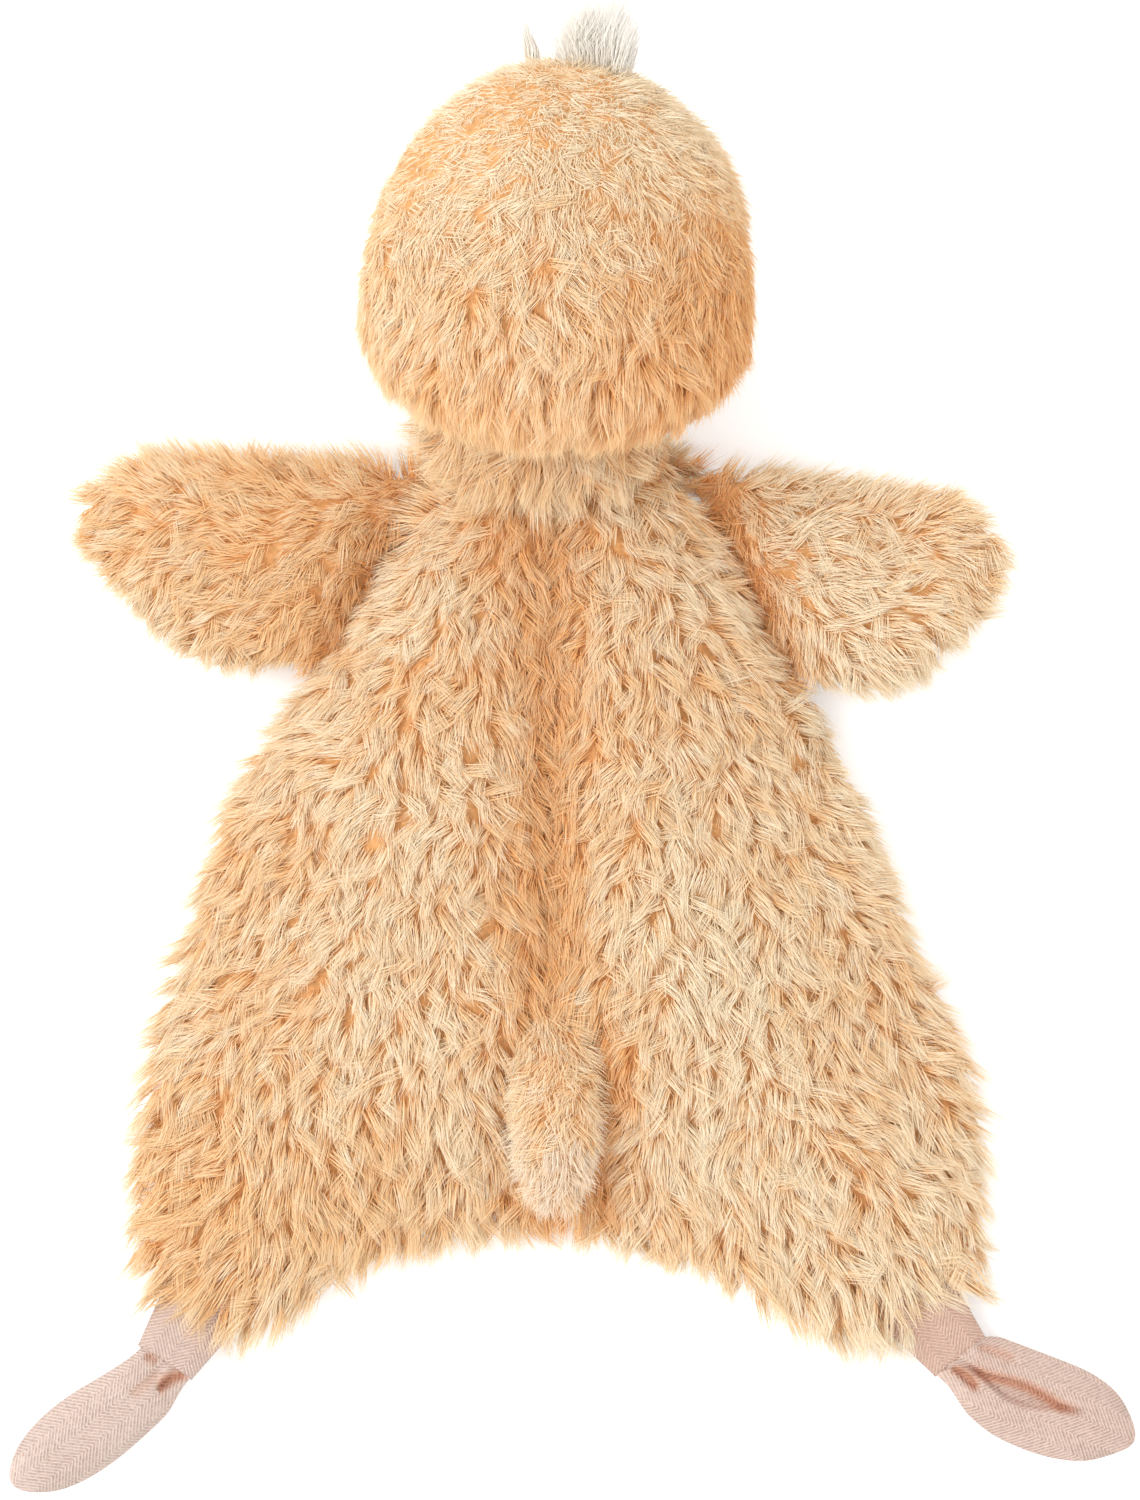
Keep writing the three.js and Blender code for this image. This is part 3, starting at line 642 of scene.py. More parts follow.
wanted += CORNER_PULL * at["corner"][:, None] * to_corner + LEG_PULL * at["hem_corner"][:, None] * to_leg
lays = laid_along(points, normals, wanted)
lays = unit(lays + TAIL_PULL * at["above_tail"][:, None] * np.array([0.0, -1.0, 0.0]))
body_piles = grown_pile(
    "body_pile",
    points,
    normals,
    lays,
    lengths_near(len(points), LOCK_LENGTH) * (1 + weighed(BODY_LONGER, at)),
    plush,
    lifts=(ROOT_LIFT + weighed(BODY_ROOT_LIFTS, at), TIP_LIFT + weighed(BODY_TIP_LIFTS, at)),
    fuzz=np.clip(BODY_LEAST_FUZZ + weighed(BODY_FUZZ, at), 0, 1),
    deeper=weighed(BODY_PAINTED_SHADE_AND_LIGHT, at),
    paler=weighed(BODY_PAINTED_TIP_SHADE_AND_ROOT_LIGHT, at),
)
for pile in body_piles:
    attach(pile, "torso")

# Neck: the head's plush, gathered in with a drawn thread and sewn over the opening of the body.
NECK_VOXEL = 2 * MM
NECK_SWELL_CAP = 1 * MM
NECK_RIGHT_WIDTH = 0.78
NECK_LOCK_LENGTH = 1.3 * LOCK_LENGTH
NECK_RIGHT_SHORTER = 0.4
NECK_FAN = math.radians(50)
NECK_LEAN = -0.2
NECK_STANDING = 1.6
neck = skin_over("neck_backing", ["neck_gather"], NECK_VOXEL, NECK_SWELL_CAP)
for vertex in neck.data.vertices:
    if vertex.co.x > 0:
        vertex.co.x *= NECK_RIGHT_WIDTH
neck.data.update()
points, normals = scattered(neck, lambda normal: BACK_SPACING)
fan = NECK_FAN * points[:, 0] / np.abs(points[:, 0]).max()
wanted = np.stack([np.sin(fan), -np.cos(fan), NECK_LEAN * np.ones(len(fan))], axis=1)
toward_hem = np.clip(-normals[:, 1], 0, 1)[:, None]
normals = unit(normals + NECK_STANDING * toward_hem * np.array([0.0, 0.0, 1.0]))
lays = laid_along(points, normals, wanted)
at_right = np.clip(normals[:, 0], 0, 1)
neck_lengths = lengths_near(len(points), NECK_LOCK_LENGTH) * (1 - NECK_RIGHT_SHORTER * at_right)
# The neck's deeper locks are painted shade under the overhanging head.
neck_pieces = [neck] + grown_pile(
    "neck_pile", points, normals, lays, neck_lengths, plush, fuzz=0.45, deeper=0.35, sky_share=2
)
for piece in neck_pieces:
    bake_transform(piece)

# Head: a ball of stuffing under two back panels and a face panel of the same plush, sewn together
# over the crown. Its pile is combed down from the crown and hangs over the neck at the nape.
HEAD_WANDER = math.radians(28)
HEAD_LOCK_LENGTH = 0.9 * LOCK_LENGTH
HEAD_LONGER = {"hanging": 0.55, "crown": -0.45, "lower_left": 0.35}
HEAD_FLATTER = (0.1, 0.15)
HEAD_TIP_LIFTS = {"hanging": math.radians(42), "crown": math.radians(9)}
HEAD_FUZZ = {"crown": 0.35, "nape": -0.35}
HEAD_MIDDLE_FUZZ = 0.45
# The head's right side and nape are deeper as painted shade, the right side away from the lamp on the left
# and the nape under the head; the paler crown is the plush's own tone.
HEAD_PAINTED_SHADE_AND_TONE = {"right": 1.1, "nape": 0.9, "crown": -0.5}
HEAD_ROOT_TONE_AND_PAINTED_SHADE = {"crown": 0.75, "right": -0.25, "nape": -0.25}
HEAD_DOWNWARD = 0.35
NAPE_INWARD = {"left": 0, "right": 0.6}
CROWN_ASIDE = 3.5 * MM
HEAD_VOXEL = 2.4 * MM
HEAD_SWELL_CAP = 2 * MM
THIN_PLACES = (
    {"side": -1, "height": 130 * MM, "reach": 27 * MM, "shorter": 0.55},
    {"side": 1, "height": 114 * MM, "reach": 18 * MM, "shorter": 0.35},
)
HEAD_SPACING = 1.96 * MM
HEAD_SIDE_SPACING = 2.4 * MM
FACE_SPACING = 3.4 * MM
head_nodes = ["head_back_left", "head_back_right", "face_panel", "head_stuffing"]
head = skin_over("head_backing", head_nodes, HEAD_VOXEL, HEAD_SWELL_CAP)
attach(head, "head")
head_low, head_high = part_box("head_stuffing")
head_centre = (head_low + head_high) / 2
crown = np.array([CROWN_ASIDE, head_high.y, head_centre.z])


def head_spacing(normal):
    """The pile gets sparser from the back of the head round to the face."""
    if normal[2] > -0.2:
        return HEAD_SPACING
    return HEAD_SIDE_SPACING if normal[2] > -0.65 else FACE_SPACING


points, normals = scattered(head, head_spacing)
across = points[:, 0] / head_high.x
nape = np.clip((head_centre.y - points[:, 1]) / (head_centre.y - head_low.y), 0, 1)
at = {
    "nape": nape,
    "crown": np.clip((points[:, 1] - head_centre.y) / (head_high.y - head_centre.y), 0, 1),
    "hanging": nape**2 * np.clip(normals[:, 2] + 0.4, 0, 1),
    "lower_left": nape * np.clip(-normals[:, 0], 0, 1),
    "right": np.clip(across, 0, 1) ** 2,
}
wanted = unit(points - crown) + np.array([0.0, -HEAD_DOWNWARD, 0.0])
wanted[:, 0] -= nape * across * of_side(points, NAPE_INWARD)
lays = laid_along(points, normals, wanted, HEAD_WANDER)
head_longer = weighed(HEAD_LONGER, at)
for place in THIN_PLACES:
    thin = np.clip(1 - np.abs(points[:, 1] - place["height"]) / place["reach"], 0, 1)
    head_longer -= place["shorter"] * thin * np.clip(place["side"] * across, 0, 1)
head_tip_lift = TIP_LIFT - HEAD_FLATTER[1] + weighed(HEAD_TIP_LIFTS, at)
head_piles = grown_pile(
    "head_pile",
    points,
    normals,
    lays,
    lengths_near(len(points), HEAD_LOCK_LENGTH) * (1 + head_longer),
    plush,
    lifts=(ROOT_LIFT - HEAD_FLATTER[0], head_tip_lift),
    fuzz=HEAD_MIDDLE_FUZZ + weighed(HEAD_FUZZ, at),
    deeper=weighed(HEAD_PAINTED_SHADE_AND_TONE, at),
    paler=weighed(HEAD_ROOT_TONE_AND_PAINTED_SHADE, at),
)
for pile in head_piles:
    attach(pile, "head")

# Wings: padded paddles of the same plush, each of an upper and an under panel with a little wadding,
# sewn on by their straight root below the neck. Their pile is combed outward and down.
WING_VOXEL = 1.6 * MM
WING_SWELL_CAP = 1.5 * MM
WING_UNDER_SPACING = 3.4 * MM
WING_LOCK_LENGTH = 0.92 * LOCK_LENGTH
WING_DROOP_BELOW = math.radians(62)
WING_DROOP_LESS_ABOVE = math.radians(66)
WING_ROOT_REACH = 9 * MM
WING_SHOULDER_REACH = 18 * MM
WING_FOOT_REACH = 25 * MM
WING_END_PLACE = 33 * MM
WING_END_REACH = 15 * MM
WING_GROOVE_DEPTH = 2.5 * MM
WING_GROOVE_WIDTH = 6 * MM
WING_ROOT_LIFT = 0.15
WING_FUZZ = {"root": 0.35, "top": 0.8}
WING_LEAST_FUZZ = 0.2
WING_SHADE_CURVE = 1.5
# Each wing's deeper tone is painted light and shade: the left wing darker as painted shade, the right paler
# as painted light. Its root is deep in colour to the tips, as painted shade in the groove beside the body.
WINGS = {
    "left": {
        "side": -1,
        "groove": 0.15,
        "upright": 0.7,
        "longer": {"top": 0.1, "shoulder": 0.45, "foot_end": 0.15, "end": -0.1, "groove": -0.25},
        "lifts": {"top": math.radians(22), "foot": math.radians(8), "root": 0.2},
        "deeper": 0.5,
        "root_painted_shade": 0.25,
        "root_painted_shade_to_tips": -0.375,
    },
    "right": {
        "side": 1,
        "groove": 1,
        "upright": 0.3,
        "longer": {"top": 0.1, "shoulder": 0.4, "foot_end": 0.65, "end": -0.4, "groove": -0.25},
        "lifts": {"top": math.radians(4), "foot": math.radians(8), "root": 0.2},
        "deeper": -0.25,
        "root_painted_shade": 0.9,
        "root_painted_shade_to_tips": -0.7,
    },
}
for side_name, shape in WINGS.items():
    wing_nodes = [f"{side_name}_wing_{part}" for part in ("seam", "top", "under", "padding")]
    wing = skin_over(f"{side_name}_wing_backing", wing_nodes, WING_VOXEL, WING_SWELL_CAP)
    hinge = joint_named(f"{side_name}_wing_flap")
    root = Vector(hinge["pos_m"])
    outward = Vector(hinge["axis"]).cross(Vector((0, 0, 1))).normalized()
    if outward.x * shape["side"] < 0:
        outward = -outward
    for vertex in wing.data.vertices:
        away = (vertex.co - root).dot(outward) / WING_GROOVE_WIDTH
        drawn = shape["groove"] * WING_GROOVE_DEPTH * math.exp(-away * away)
        vertex.co.z = max(vertex.co.z - drawn * max(vertex.normal.z, 0), BELLY_LIFT)
    wing.data.update()
    points, normals = scattered(wing, lambda normal: BACK_SPACING if normal[2] > -0.3 else WING_UNDER_SPACING)
    wing_low, wing_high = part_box(f"{side_name}_wing_top")
    upper = np.clip((points[:, 1] - wing_low.y) / (wing_high.y - wing_low.y), 0, 1)
    droop = WING_DROOP_BELOW - WING_DROOP_LESS_ABOVE * upper
    wanted = np.stack([shape["side"] * np.cos(droop), -np.sin(droop), np.zeros(len(droop))], axis=1)
    on_top = np.clip(normals[:, 1], 0, 1)
    on_foot = np.clip(-normals[:, 1], 0, 1)
    from_root = (points - np.array(root)) @ np.array(outward)
    at_root = np.clip(1 - from_root / WING_ROOT_REACH, 0, 1)
    at_end = np.clip(1 - np.abs(points[:, 1] - WING_END_PLACE) / WING_END_REACH, 0, 1)
    at = {
        "top": on_top,
        "foot": on_foot,
        "foot_end": on_foot * np.clip(from_root / WING_FOOT_REACH, 0, 1),
        "root": at_root,
        "groove": shape["groove"] * at_root,
        "shoulder": on_top * np.clip(1 - from_root / WING_SHOULDER_REACH, 0, 1),
        "end": at_end * np.clip(shape["side"] * normals[:, 0], 0, 1),
    }
    wanted[:, 1] += shape["upright"] * at["shoulder"]
    lays = laid_along(points, normals, wanted)
    root_shade = at_root**WING_SHADE_CURVE
    piles = grown_pile(
        f"{side_name}_wing_pile",
        points,
        normals,
        lays,
        lengths_near(len(points), WING_LOCK_LENGTH) * (1 + weighed(shape["longer"], at)),
        plush,
        lifts=(ROOT_LIFT + WING_ROOT_LIFT * at_root, TIP_LIFT + weighed(shape["lifts"], at)),
        fuzz=np.clip(WING_LEAST_FUZZ + weighed(WING_FUZZ, at), 0, 1),
        # Deeper locks at the root, to their tips, are painted shade in the groove beside the body.
        deeper=shape["deeper"] + shape["root_painted_shade"] * root_shade,
        paler=shape["root_painted_shade_to_tips"] * root_shade,
    )
    for piece in [wing] + piles:
        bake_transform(piece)

# Tail: a stuffed nub of two plush covers, sewn to the foot of the centre-back seam. Its root is drawn
# in narrow and flat by that seam, and its pile turns cream toward the tip.
TAIL_VOXEL = 1.6 * MM
TAIL_SWELL_CAP = 1 * MM
TAIL_SPACING = 1.7 * MM
TAIL_LIFTS = (math.radians(60), math.radians(34))
TAIL_LOCK_LENGTH = 0.72 * LOCK_LENGTH
TAIL_ROOT_LONGER = 0.3
TAIL_ROOT_SHARE = 0.32
TAIL_ROOT_CURVE = 1.3
TAIL_ROOT_WIDTH = 0.62
TAIL_ROOT_HEIGHT = 0.05
TAIL_TOP_STANDING = 2
TAIL_TOP_COMBED = -1.5
TAIL_TIP_SHARE = 0.42
TAIL_TIP_UNEVEN = 0.12
TAIL_FAN = 0.8
TAIL_TIP_FAN = 1.4
TAIL_FAN_FROM = 0.6
TIP_PILE_ROOT = (0.88, 0.60, 0.36, 1)
TIP_PILE_MIDDLE = (0.93, 0.75, 0.56, 1)
TIP_PILE_TIP = (0.97, 0.87, 0.74, 1)
tail_nodes = ["tail_seam", "tail_top", "tail_under", "tail_stuffing"]
tail = skin_over("tail_backing", tail_nodes, TAIL_VOXEL, TAIL_SWELL_CAP)
tail_tip = pile_material(
    "tail_tip_pile", TIP_PILE_ROOT, TIP_PILE_MIDDLE, TIP_PILE_TIP, PILE_DARK_LOCK, PILE_PALE_LOCK
)
tail_low, tail_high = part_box("tail_top")
tail_middle = (tail_low.x + tail_high.x) / 2
for vertex in tail.data.vertices:
    along = (tail_high.y - vertex.co.y) / (tail_high.y - tail_low.y)
    taper = min(1, max(0, 1 - along / TAIL_ROOT_SHARE)) ** TAIL_ROOT_CURVE
    vertex.co.x = tail_middle + (vertex.co.x - tail_middle) * (1 - (1 - TAIL_ROOT_WIDTH) * taper)
    vertex.co.z = tail_low.z + (vertex.co.z - tail_low.z) * (1 - (1 - TAIL_ROOT_HEIGHT) * taper)
tail.data.update()
points, normals = scattered(tail, lambda normal: TAIL_SPACING)
share = (tail_high.y - points[:, 1]) / (tail_high.y - tail_low.y)
aside = (points[:, 0] - tail_middle) / (tail_high.x - tail_middle)
tail_fan = TAIL_FAN + TAIL_TIP_FAN * np.clip((share - TAIL_FAN_FROM) / (1 - TAIL_FAN_FROM), 0, 1)
wanted = np.stack([tail_fan * aside, -np.ones(len(points)), np.zeros(len(points))], axis=1)
lays = laid_along(points, normals, wanted)
at_root = np.clip(1 - share / TAIL_ROOT_SHARE, 0, 1)
at_top = np.clip(normals[:, 1], 0, 1)[:, None]
normals = unit(normals + TAIL_TOP_STANDING * at_top * np.array([0.0, 0.0, 1.0]))
lays = unit(lays + at_top * np.array([0.0, TAIL_TOP_COMBED, 0.0]))
lengths = lengths_near(len(points), TAIL_LOCK_LENGTH) * (1 + TAIL_ROOT_LONGER * at_root)
at_tip = share + TAIL_TIP_UNEVEN * chance.standard_normal(len(share)) > 1 - TAIL_TIP_SHARE
tail_pieces = [tail]
for pile_name, chosen, material in (("tail_pile", ~at_tip, plush), ("tail_tip_pile", at_tip, tail_tip)):
    tail_pieces += grown_pile(
        pile_name,
        points[chosen],
        normals[chosen],
        lays[chosen],
        lengths[chosen],
        material,
        lifts=TAIL_LIFTS,
        fuzz=0.55,
        # deeper to the right: painted shade on the tail's side away from the lamp
        deeper=0.6 * np.clip(aside[chosen], 0, 1),
    )
for piece in tail_pieces:
    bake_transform(piece)

# Crown tuft: a brush of long cream pile sewn into the seam on the top of the head, standing up and
# fanned a little, with one thin lock apart from it on the left.
TUFT_LEFT = 1.6 * MM
TUFT_RIGHT = 14 * MM
SIDE_LOCK_LEFT = -6 * MM
SIDE_LOCK_RIGHT = -5 * MM
TUFT_DEPTH = 6.5 * MM
TUFT_SPACING = 0.9 * MM
TUFT_LENGTH = 19 * MM
TUFT_LIFTS = (math.radians(86), math.radians(74))
TUFT_FAN = 0.02
TUFT_SPREAD = 0.25
TUFT_LONGEST_AT = 0.15
TUFT_ROUNDING = 1.6
TUFT_SHORTER = {"left": 0.5, "right": 0.4}
SIDE_LOCK_LENGTH = 0.8
SIDE_LOCK_FROM = -1.2
TUFT_FUZZ = 0.8
SIDE_LOCK_FUZZ = -0.75
CREAM_ROOT = (0.95, 0.88, 0.76, 1)
CREAM_MIDDLE = (0.97, 0.93, 0.86, 1)
CREAM_TIP = (0.98, 0.96, 0.92, 1)
CREAM_DARK_LOCK = (0.93, 0.90, 0.86, 1)
cream = pile_material("cream_pile", CREAM_ROOT, CREAM_MIDDLE, CREAM_TIP, CREAM_DARK_LOCK, PILE_PALE_LOCK)
points, normals = scattered(head, lambda normal: TUFT_SPACING)
in_brush = (points[:, 0] > TUFT_LEFT) & (points[:, 0] < TUFT_RIGHT)
in_side_lock = (points[:, 0] > SIDE_LOCK_LEFT) & (points[:, 0] < SIDE_LOCK_RIGHT)
from_middle = np.abs(points[:, 2] - head_centre.z)
in_brush &= from_middle < TUFT_DEPTH
in_side_lock &= from_middle < TUFT_DEPTH / 3
on_crown = (in_brush | in_side_lock) & (points[:, 1] > head_centre.y)
points = points[on_crown]
middle = (TUFT_LEFT + TUFT_RIGHT) / 2
aside = np.clip((points[:, 0] - middle) / (TUFT_RIGHT - middle), -2, 1)
spread = TUFT_SPREAD * chance.standard_normal(len(points))
upright = unit(np.stack([TUFT_FAN * aside, np.ones(len(points)), spread], axis=1))
in_side = aside < SIDE_LOCK_FROM
sideways = np.stack([aside, np.zeros(len(points)), 0.3 * np.ones(len(points))], axis=1)
lays = laid_along(points, upright, sideways)
from_longest = np.clip(np.abs(aside - TUFT_LONGEST_AT), 0, 1) ** TUFT_ROUNDING
rounded = 1 - np.where(aside < 0, TUFT_SHORTER["left"], TUFT_SHORTER["right"]) * from_longest
tuft_pieces = grown_pile(
    "crown_tuft",
    points,
    upright,
    lays,
    lengths_near(len(points), TUFT_LENGTH) * np.where(in_side, SIDE_LOCK_LENGTH, rounded),
    cream,
    lifts=TUFT_LIFTS,
    fuzz=np.where(in_side, SIDE_LOCK_FUZZ, TUFT_FUZZ),
    sky_share=3,
)
for piece in tuft_pieces:
    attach(piece, "head")
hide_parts("crown_tuft")

# Bill: two padded halves of blush herringbone twill, each cut double, turned and filled a little, then
# sewn into the face by its root. The photographed side hides it.
TWILL_RIB = (0.78, 0.62, 0.54, 1)
TWILL_GROOVE = (0.56, 0.39, 0.32, 1)
# The fold colour is painted shade in the folds and pleats and over the legs.
TWILL_FOLD_SHADE = (0.92, 0.62, 0.48, 1)
RIB_PITCH = 0.98 * MM
CHEVRON_WIDTH = 8.4 * MM
RIB_HEIGHT = 0.45 * MM
TWILL_FIBRES = 1600
TWILL_PATCHES = 90
BILL_VOXEL = 0.7 * MM
BILL_SWELL_CAP = 0.5 * MM


def maths(tree, operation, *values):
    """A Math node's result, from numbers and other nodes' outputs."""
    node = tree.nodes.new("ShaderNodeMath")
    node.operation = operation
    for socket, value in zip(node.inputs, values):
        if isinstance(value, (int, float)):
            socket.default_value = value
        else:
            tree.links.new(value, socket)
    return node.outputs[0]


def twill_material(name, along_axis, map_name=None):
    """Herringbone twill, its ribs in chevrons along the cloth, and on a map darkened by painted shade in its
    folds.
    """
    material, tree, shader = new_material(name, roughness=0.85, sheen=0.15)
    parts = place_parts(tree, map_name)
    zigzag = maths(tree, "PINGPONG", parts["X"], CHEVRON_WIDTH / 2)
    ribs = maths(tree, "ADD", parts[along_axis], zigzag)
    wave = maths(tree, "SINE", maths(tree, "MULTIPLY", ribs, 2 * math.pi / RIB_PITCH))
    level = maths(tree, "ADD", maths(tree, "MULTIPLY", wave, 0.3), unevenness(tree, TWILL_FIBRES))
    patches = maths(tree, "MULTIPLY", unevenness(tree, TWILL_PATCHES), 0.35)
    level = maths(tree, "ADD", level, patches)
    colour = colour_ramp(tree, level, [(0.25, TWILL_GROOVE), (0.75, TWILL_RIB)])
    if map_name:
        fold = tree.nodes.new("ShaderNodeAttribute")
        fold.attribute_name = "fold"
        tint = colour_ramp(tree, fold.outputs["Fac"], [(0.1, (1, 1, 1, 1)), (0.9, TWILL_FOLD_SHADE)])
        colour = multiplied(tree, colour, tint)
    tree.links.new(colour, shader.inputs["Base Color"])
    relief = tree.nodes.new("ShaderNodeBump")
    relief.inputs["Distance"].default_value = RIB_HEIGHT
    tree.links.new(level, relief.inputs["Height"])
    tree.links.new(relief.outputs["Normal"], shader.inputs["Normal"])
    return material


bill_twill = twill_material("bill_twill", "Z")
for half in ("beak_upper", "beak_lower"):
    bill = skin_over(f"{half}_cover", [half], BILL_VOXEL, BILL_SWELL_CAP)
    bill.data.materials.clear()
    bill.data.materials.append(bill_twill)
    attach(bill, "head")

# Eyes: small ovals of dark glossy thread, satin-stitched side by side through the face panel. Each
# stitch is a long rounded form, the middle ones standing highest. The photographed side hides them.
STITCHES_PER_EYE = 15
STITCH_WIDTH = 1.25
STITCH_HEIGHT = 0.3 * MM
EYE_CROWN = 0.9 * MM
EYE_LIFT = 0.6 * MM
THREAD_TWIST = 1400
THREAD_DARK = (0.02, 0.012, 0.008, 1)
THREAD_PALE = (0.09, 0.05, 0.03, 1)
thread_material, thread_tree, thread_shader = new_material("eye_thread", roughness=0.45, sheen=0.1)
thread_twist = unevenness(thread_tree, THREAD_TWIST)
thread_colour = colour_ramp(thread_tree, thread_twist, [(0.35, THREAD_DARK), (0.7, THREAD_PALE)])
thread_tree.links.new(thread_colour, thread_shader.inputs["Base Color"])
for side_name in ("left", "right"):
    low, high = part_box(f"{side_name}_eye")
    centre = (low + high) / 2
    half = (high - low) / 2
    outward = (centre - head_centre).normalized()
    facing = outward.to_track_quat("Z", "Y").to_matrix().to_4x4()
    form = bmesh.new()
    for index in range(STITCHES_PER_EYE):
        across = (index + 0.5) / STITCHES_PER_EYE * 2 - 1
        span = math.sqrt(1 - across * across)
        made = bmesh.ops.create_uvsphere(form, u_segments=10, v_segments=8, radius=1)
        width = half.x / STITCHES_PER_EYE * STITCH_WIDTH
        height = EYE_CROWN * span + STITCH_HEIGHT
        bmesh.ops.scale(form, verts=made["verts"], vec=(width, half.y * span, height))
        bmesh.ops.translate(form, verts=made["verts"], vec=(half.x * across, 0, EYE_LIFT * span))
    bmesh.ops.transform(form, verts=form.verts, matrix=facing)
    bmesh.ops.translate(form, verts=form.verts, vec=centre)
    eye_name = f"{side_name}_eye_stitches"
    eye = new_piece(eye_name, mesh_of(form, eye_name), thread_material)
    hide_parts(f"{side_name}_eye")
    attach(eye, "head")

# Legs and feet: flat tubes of blush herringbone twill from the hem, each gathered at a stitched ankle
# into a lightly padded foot. The feet are pleated where they are gathered, the right one most of all.
LEG_COLUMNS = 60
LEG_ROWS = 60
FOOT_COLUMNS = 100
FOOT_ROWS = 140
LEG_ROOT_WIDTH = 18.6 * MM
ANKLE_WIDTH = 13 * MM
CUFF_WIDTH = 14.2 * MM
LEG_OVERLAP = 6 * MM
LEG_RISE = 2.4 * MM
FOOT_TUCK = 1.5 * MM
LEG_END_CURVE = 24
LEG_FLATTER_BELOW = 0.1
LEG_GATHERS = 0.28 * MM
LEG_GATHER_WAVES = 11
LEG_RIPPLES = 0.3 * MM
FOOT_RISE = 5.2 * MM
FOOT_SINK = 4.4 * MM
FOOT_EDGE_CURVE = 3.2
FOOT_GATHER_SHARE = 0.2
FOOT_RIPPLES = 0.35
FOOT_PUCKERS = 0.35
FOOT_PUCKER_FADE = 9
TOE_CURVE = 7
ANKLE_RISE = 1.7 * MM
UNDER_CLOTH_FURTHER = 0.1
FOLD_SHADE_WIDTH = 1.7
FOLD_SHADE_DEPTH = 2.2
FOLD_OPENS_FROM = 0.2
FOLD_OPENS_OVER = 0.58
# Painted shade over each leg and foot, deeper on the right.
LEG_PAINTED_SHADES = {"left": 0.16, "right": 0.45}
FOOT_PAINTED_SHADES = {"left": 0.1, "right": 0.22}


def smoothly(values, share):
    """A value between evenly spaced ones, on a smooth curve through them."""
    place = min(max(share, 0), 1) * (len(values) - 1)
    index = min(int(place), len(values) - 2)
    rest = place - index
    before = values[max(index - 1, 0)]
    first, second = values[index], values[index + 1]
    after = values[min(index + 2, len(values) - 1)]
    cubic = 3 * (first - second) + after - before
    square = 2 * before - 5 * first + 4 * second - after
    return first + 0.5 * rest * (second - before + rest * (square + rest * cubic))


def sewn_pillow(name, columns, rows, place, material):
    """Two faces of cloth sewn edge to edge, with each point, its painted fold shade and its cut given by
    place.
    """
    form = bmesh.new()
    for face in (1, -1):
        made = bmesh.ops.create_grid(form, x_segments=columns, y_segments=rows, size=0.5)
        for vertex in made["verts"]:
            vertex.index = face
        layer = form.verts.layers.float.get("fold") or form.verts.layers.float.new("fold")
        flat = form.verts.layers.float_vector.get("flat") or form.verts.layers.float_vector.new("flat")
        for vertex in [vertex for vertex in form.verts if vertex.index == face]:
            u, v = vertex.co.x + 0.5, vertex.co.y + 0.5
            point, fold, cut = place(u, v, face)
            vertex.co = point
            vertex[layer] = fold
            vertex[flat] = cut
    maps = form.loops.layers.uv.new("cloth")
    for cloth_face in form.faces:
        for loop in cloth_face.loops:
            loop[maps].uv = loop.vert[flat].xy
    bmesh.ops.remove_doubles(form, verts=form.verts, dist=0.01 * MM)
    bmesh.ops.recalc_face_normals(form, faces=form.faces)
    return new_piece(name, mesh_of(form, name), material)


foot_twill = twill_material("foot_twill", "Y", map_name="cloth")
FEET = {
    "left": {
        "turn": math.radians(18.8),
        "length": 43.5 * MM,
        "shift": Vector((-0.1, 1.1, 0)) * MM,
        "upper": [5.6, 5.8, 6.6, 7.6, 7.9, 7.4, 6.2],
        "lower": [6.6, 9.1, 9.9, 10.2, 9.9, 8.9, 6.8],
        "folds": [
            dict(start=(-1.4, -5.4), end=(5.4, -3.6), open=0.45, bow=0.3, depth=2.6, sides=(0.5, 0.9)),
            dict(start=(0.3, 0.6), end=(1.9, 4.3), open=0.15, bow=0, depth=1.3, sides=(0.5, 0.6)),
            dict(start=(1.0, -1.4), end=(11.0, -0.8), open=0, bow=0, depth=0.8, sides=(1.4, 1.4)),
        ],
    },
    "right": {
        "turn": math.radians(26.5),
        "length": 43 * MM,
        "shift": Vector((1.2, 1.8, 0)) * MM,
        "upper": [6.5, 7.9, 8.6, 9.3, 9.8, 9.1, 6.5],
        "lower": [6.5, 10.3, 12.3, 12.4, 11.6, 9.8, 6.0],
        "folds": [
            dict(start=(0.3, -0.8), end=(31.0, 1.4), open=1.7, bow=-1.3, depth=3.0, sides=(0.4, 1.0)),
            dict(start=(-0.5, -2.8), end=(7.0, -4.5), open=0.4, bow=0, depth=2.2, sides=(0.5, 0.8)),
            dict(start=(0.5, 4.2), end=(12.0, 5.2), open=0, bow=0, depth=1.2, sides=(1.2, 1.2)),
        ],
    },
}


def fold_depth(folds, along, across):
    """How far the folds draw the cloth in at a place on the foot, in millimetres, and how much painted shadow
    falls there below each fold's upper edge.
    """
    deepest = darkest = 0
    for fold in folds:
        start, end = Vector(fold["start"]), Vector(fold["end"])
        line = end - start
        share = (Vector((along, across)) - start).dot(line) / line.length_squared
        if 0 <= share <= 1:
            above = line.cross(Vector((along, across)) - start) / line.length
            above -= fold["bow"] * math.sin(math.pi * share)
            opening = min(1, max(0, (share - FOLD_OPENS_FROM) / FOLD_OPENS_OVER))
            lens = fold["open"] * math.sin(math.pi * opening)
            steep = fold["sides"][0] if above > 0 else fold["sides"][1]
            past = max(0, abs(above) - lens) / steep
            fade = min(1, 6 * share, 5 * (1 - share))
            deepest = max(deepest, fold["depth"] * fade * math.exp(-past * past))
            # Painted shadow under the fold's upper lip, fading towards its lower side.
            below_edge = (lens - above) / FOLD_SHADE_WIDTH
            dark = min(1, fold["depth"] / FOLD_SHADE_DEPTH) * fade * math.exp(-below_edge * below_edge)
            darkest = max(darkest, dark)
    return deepest, darkest


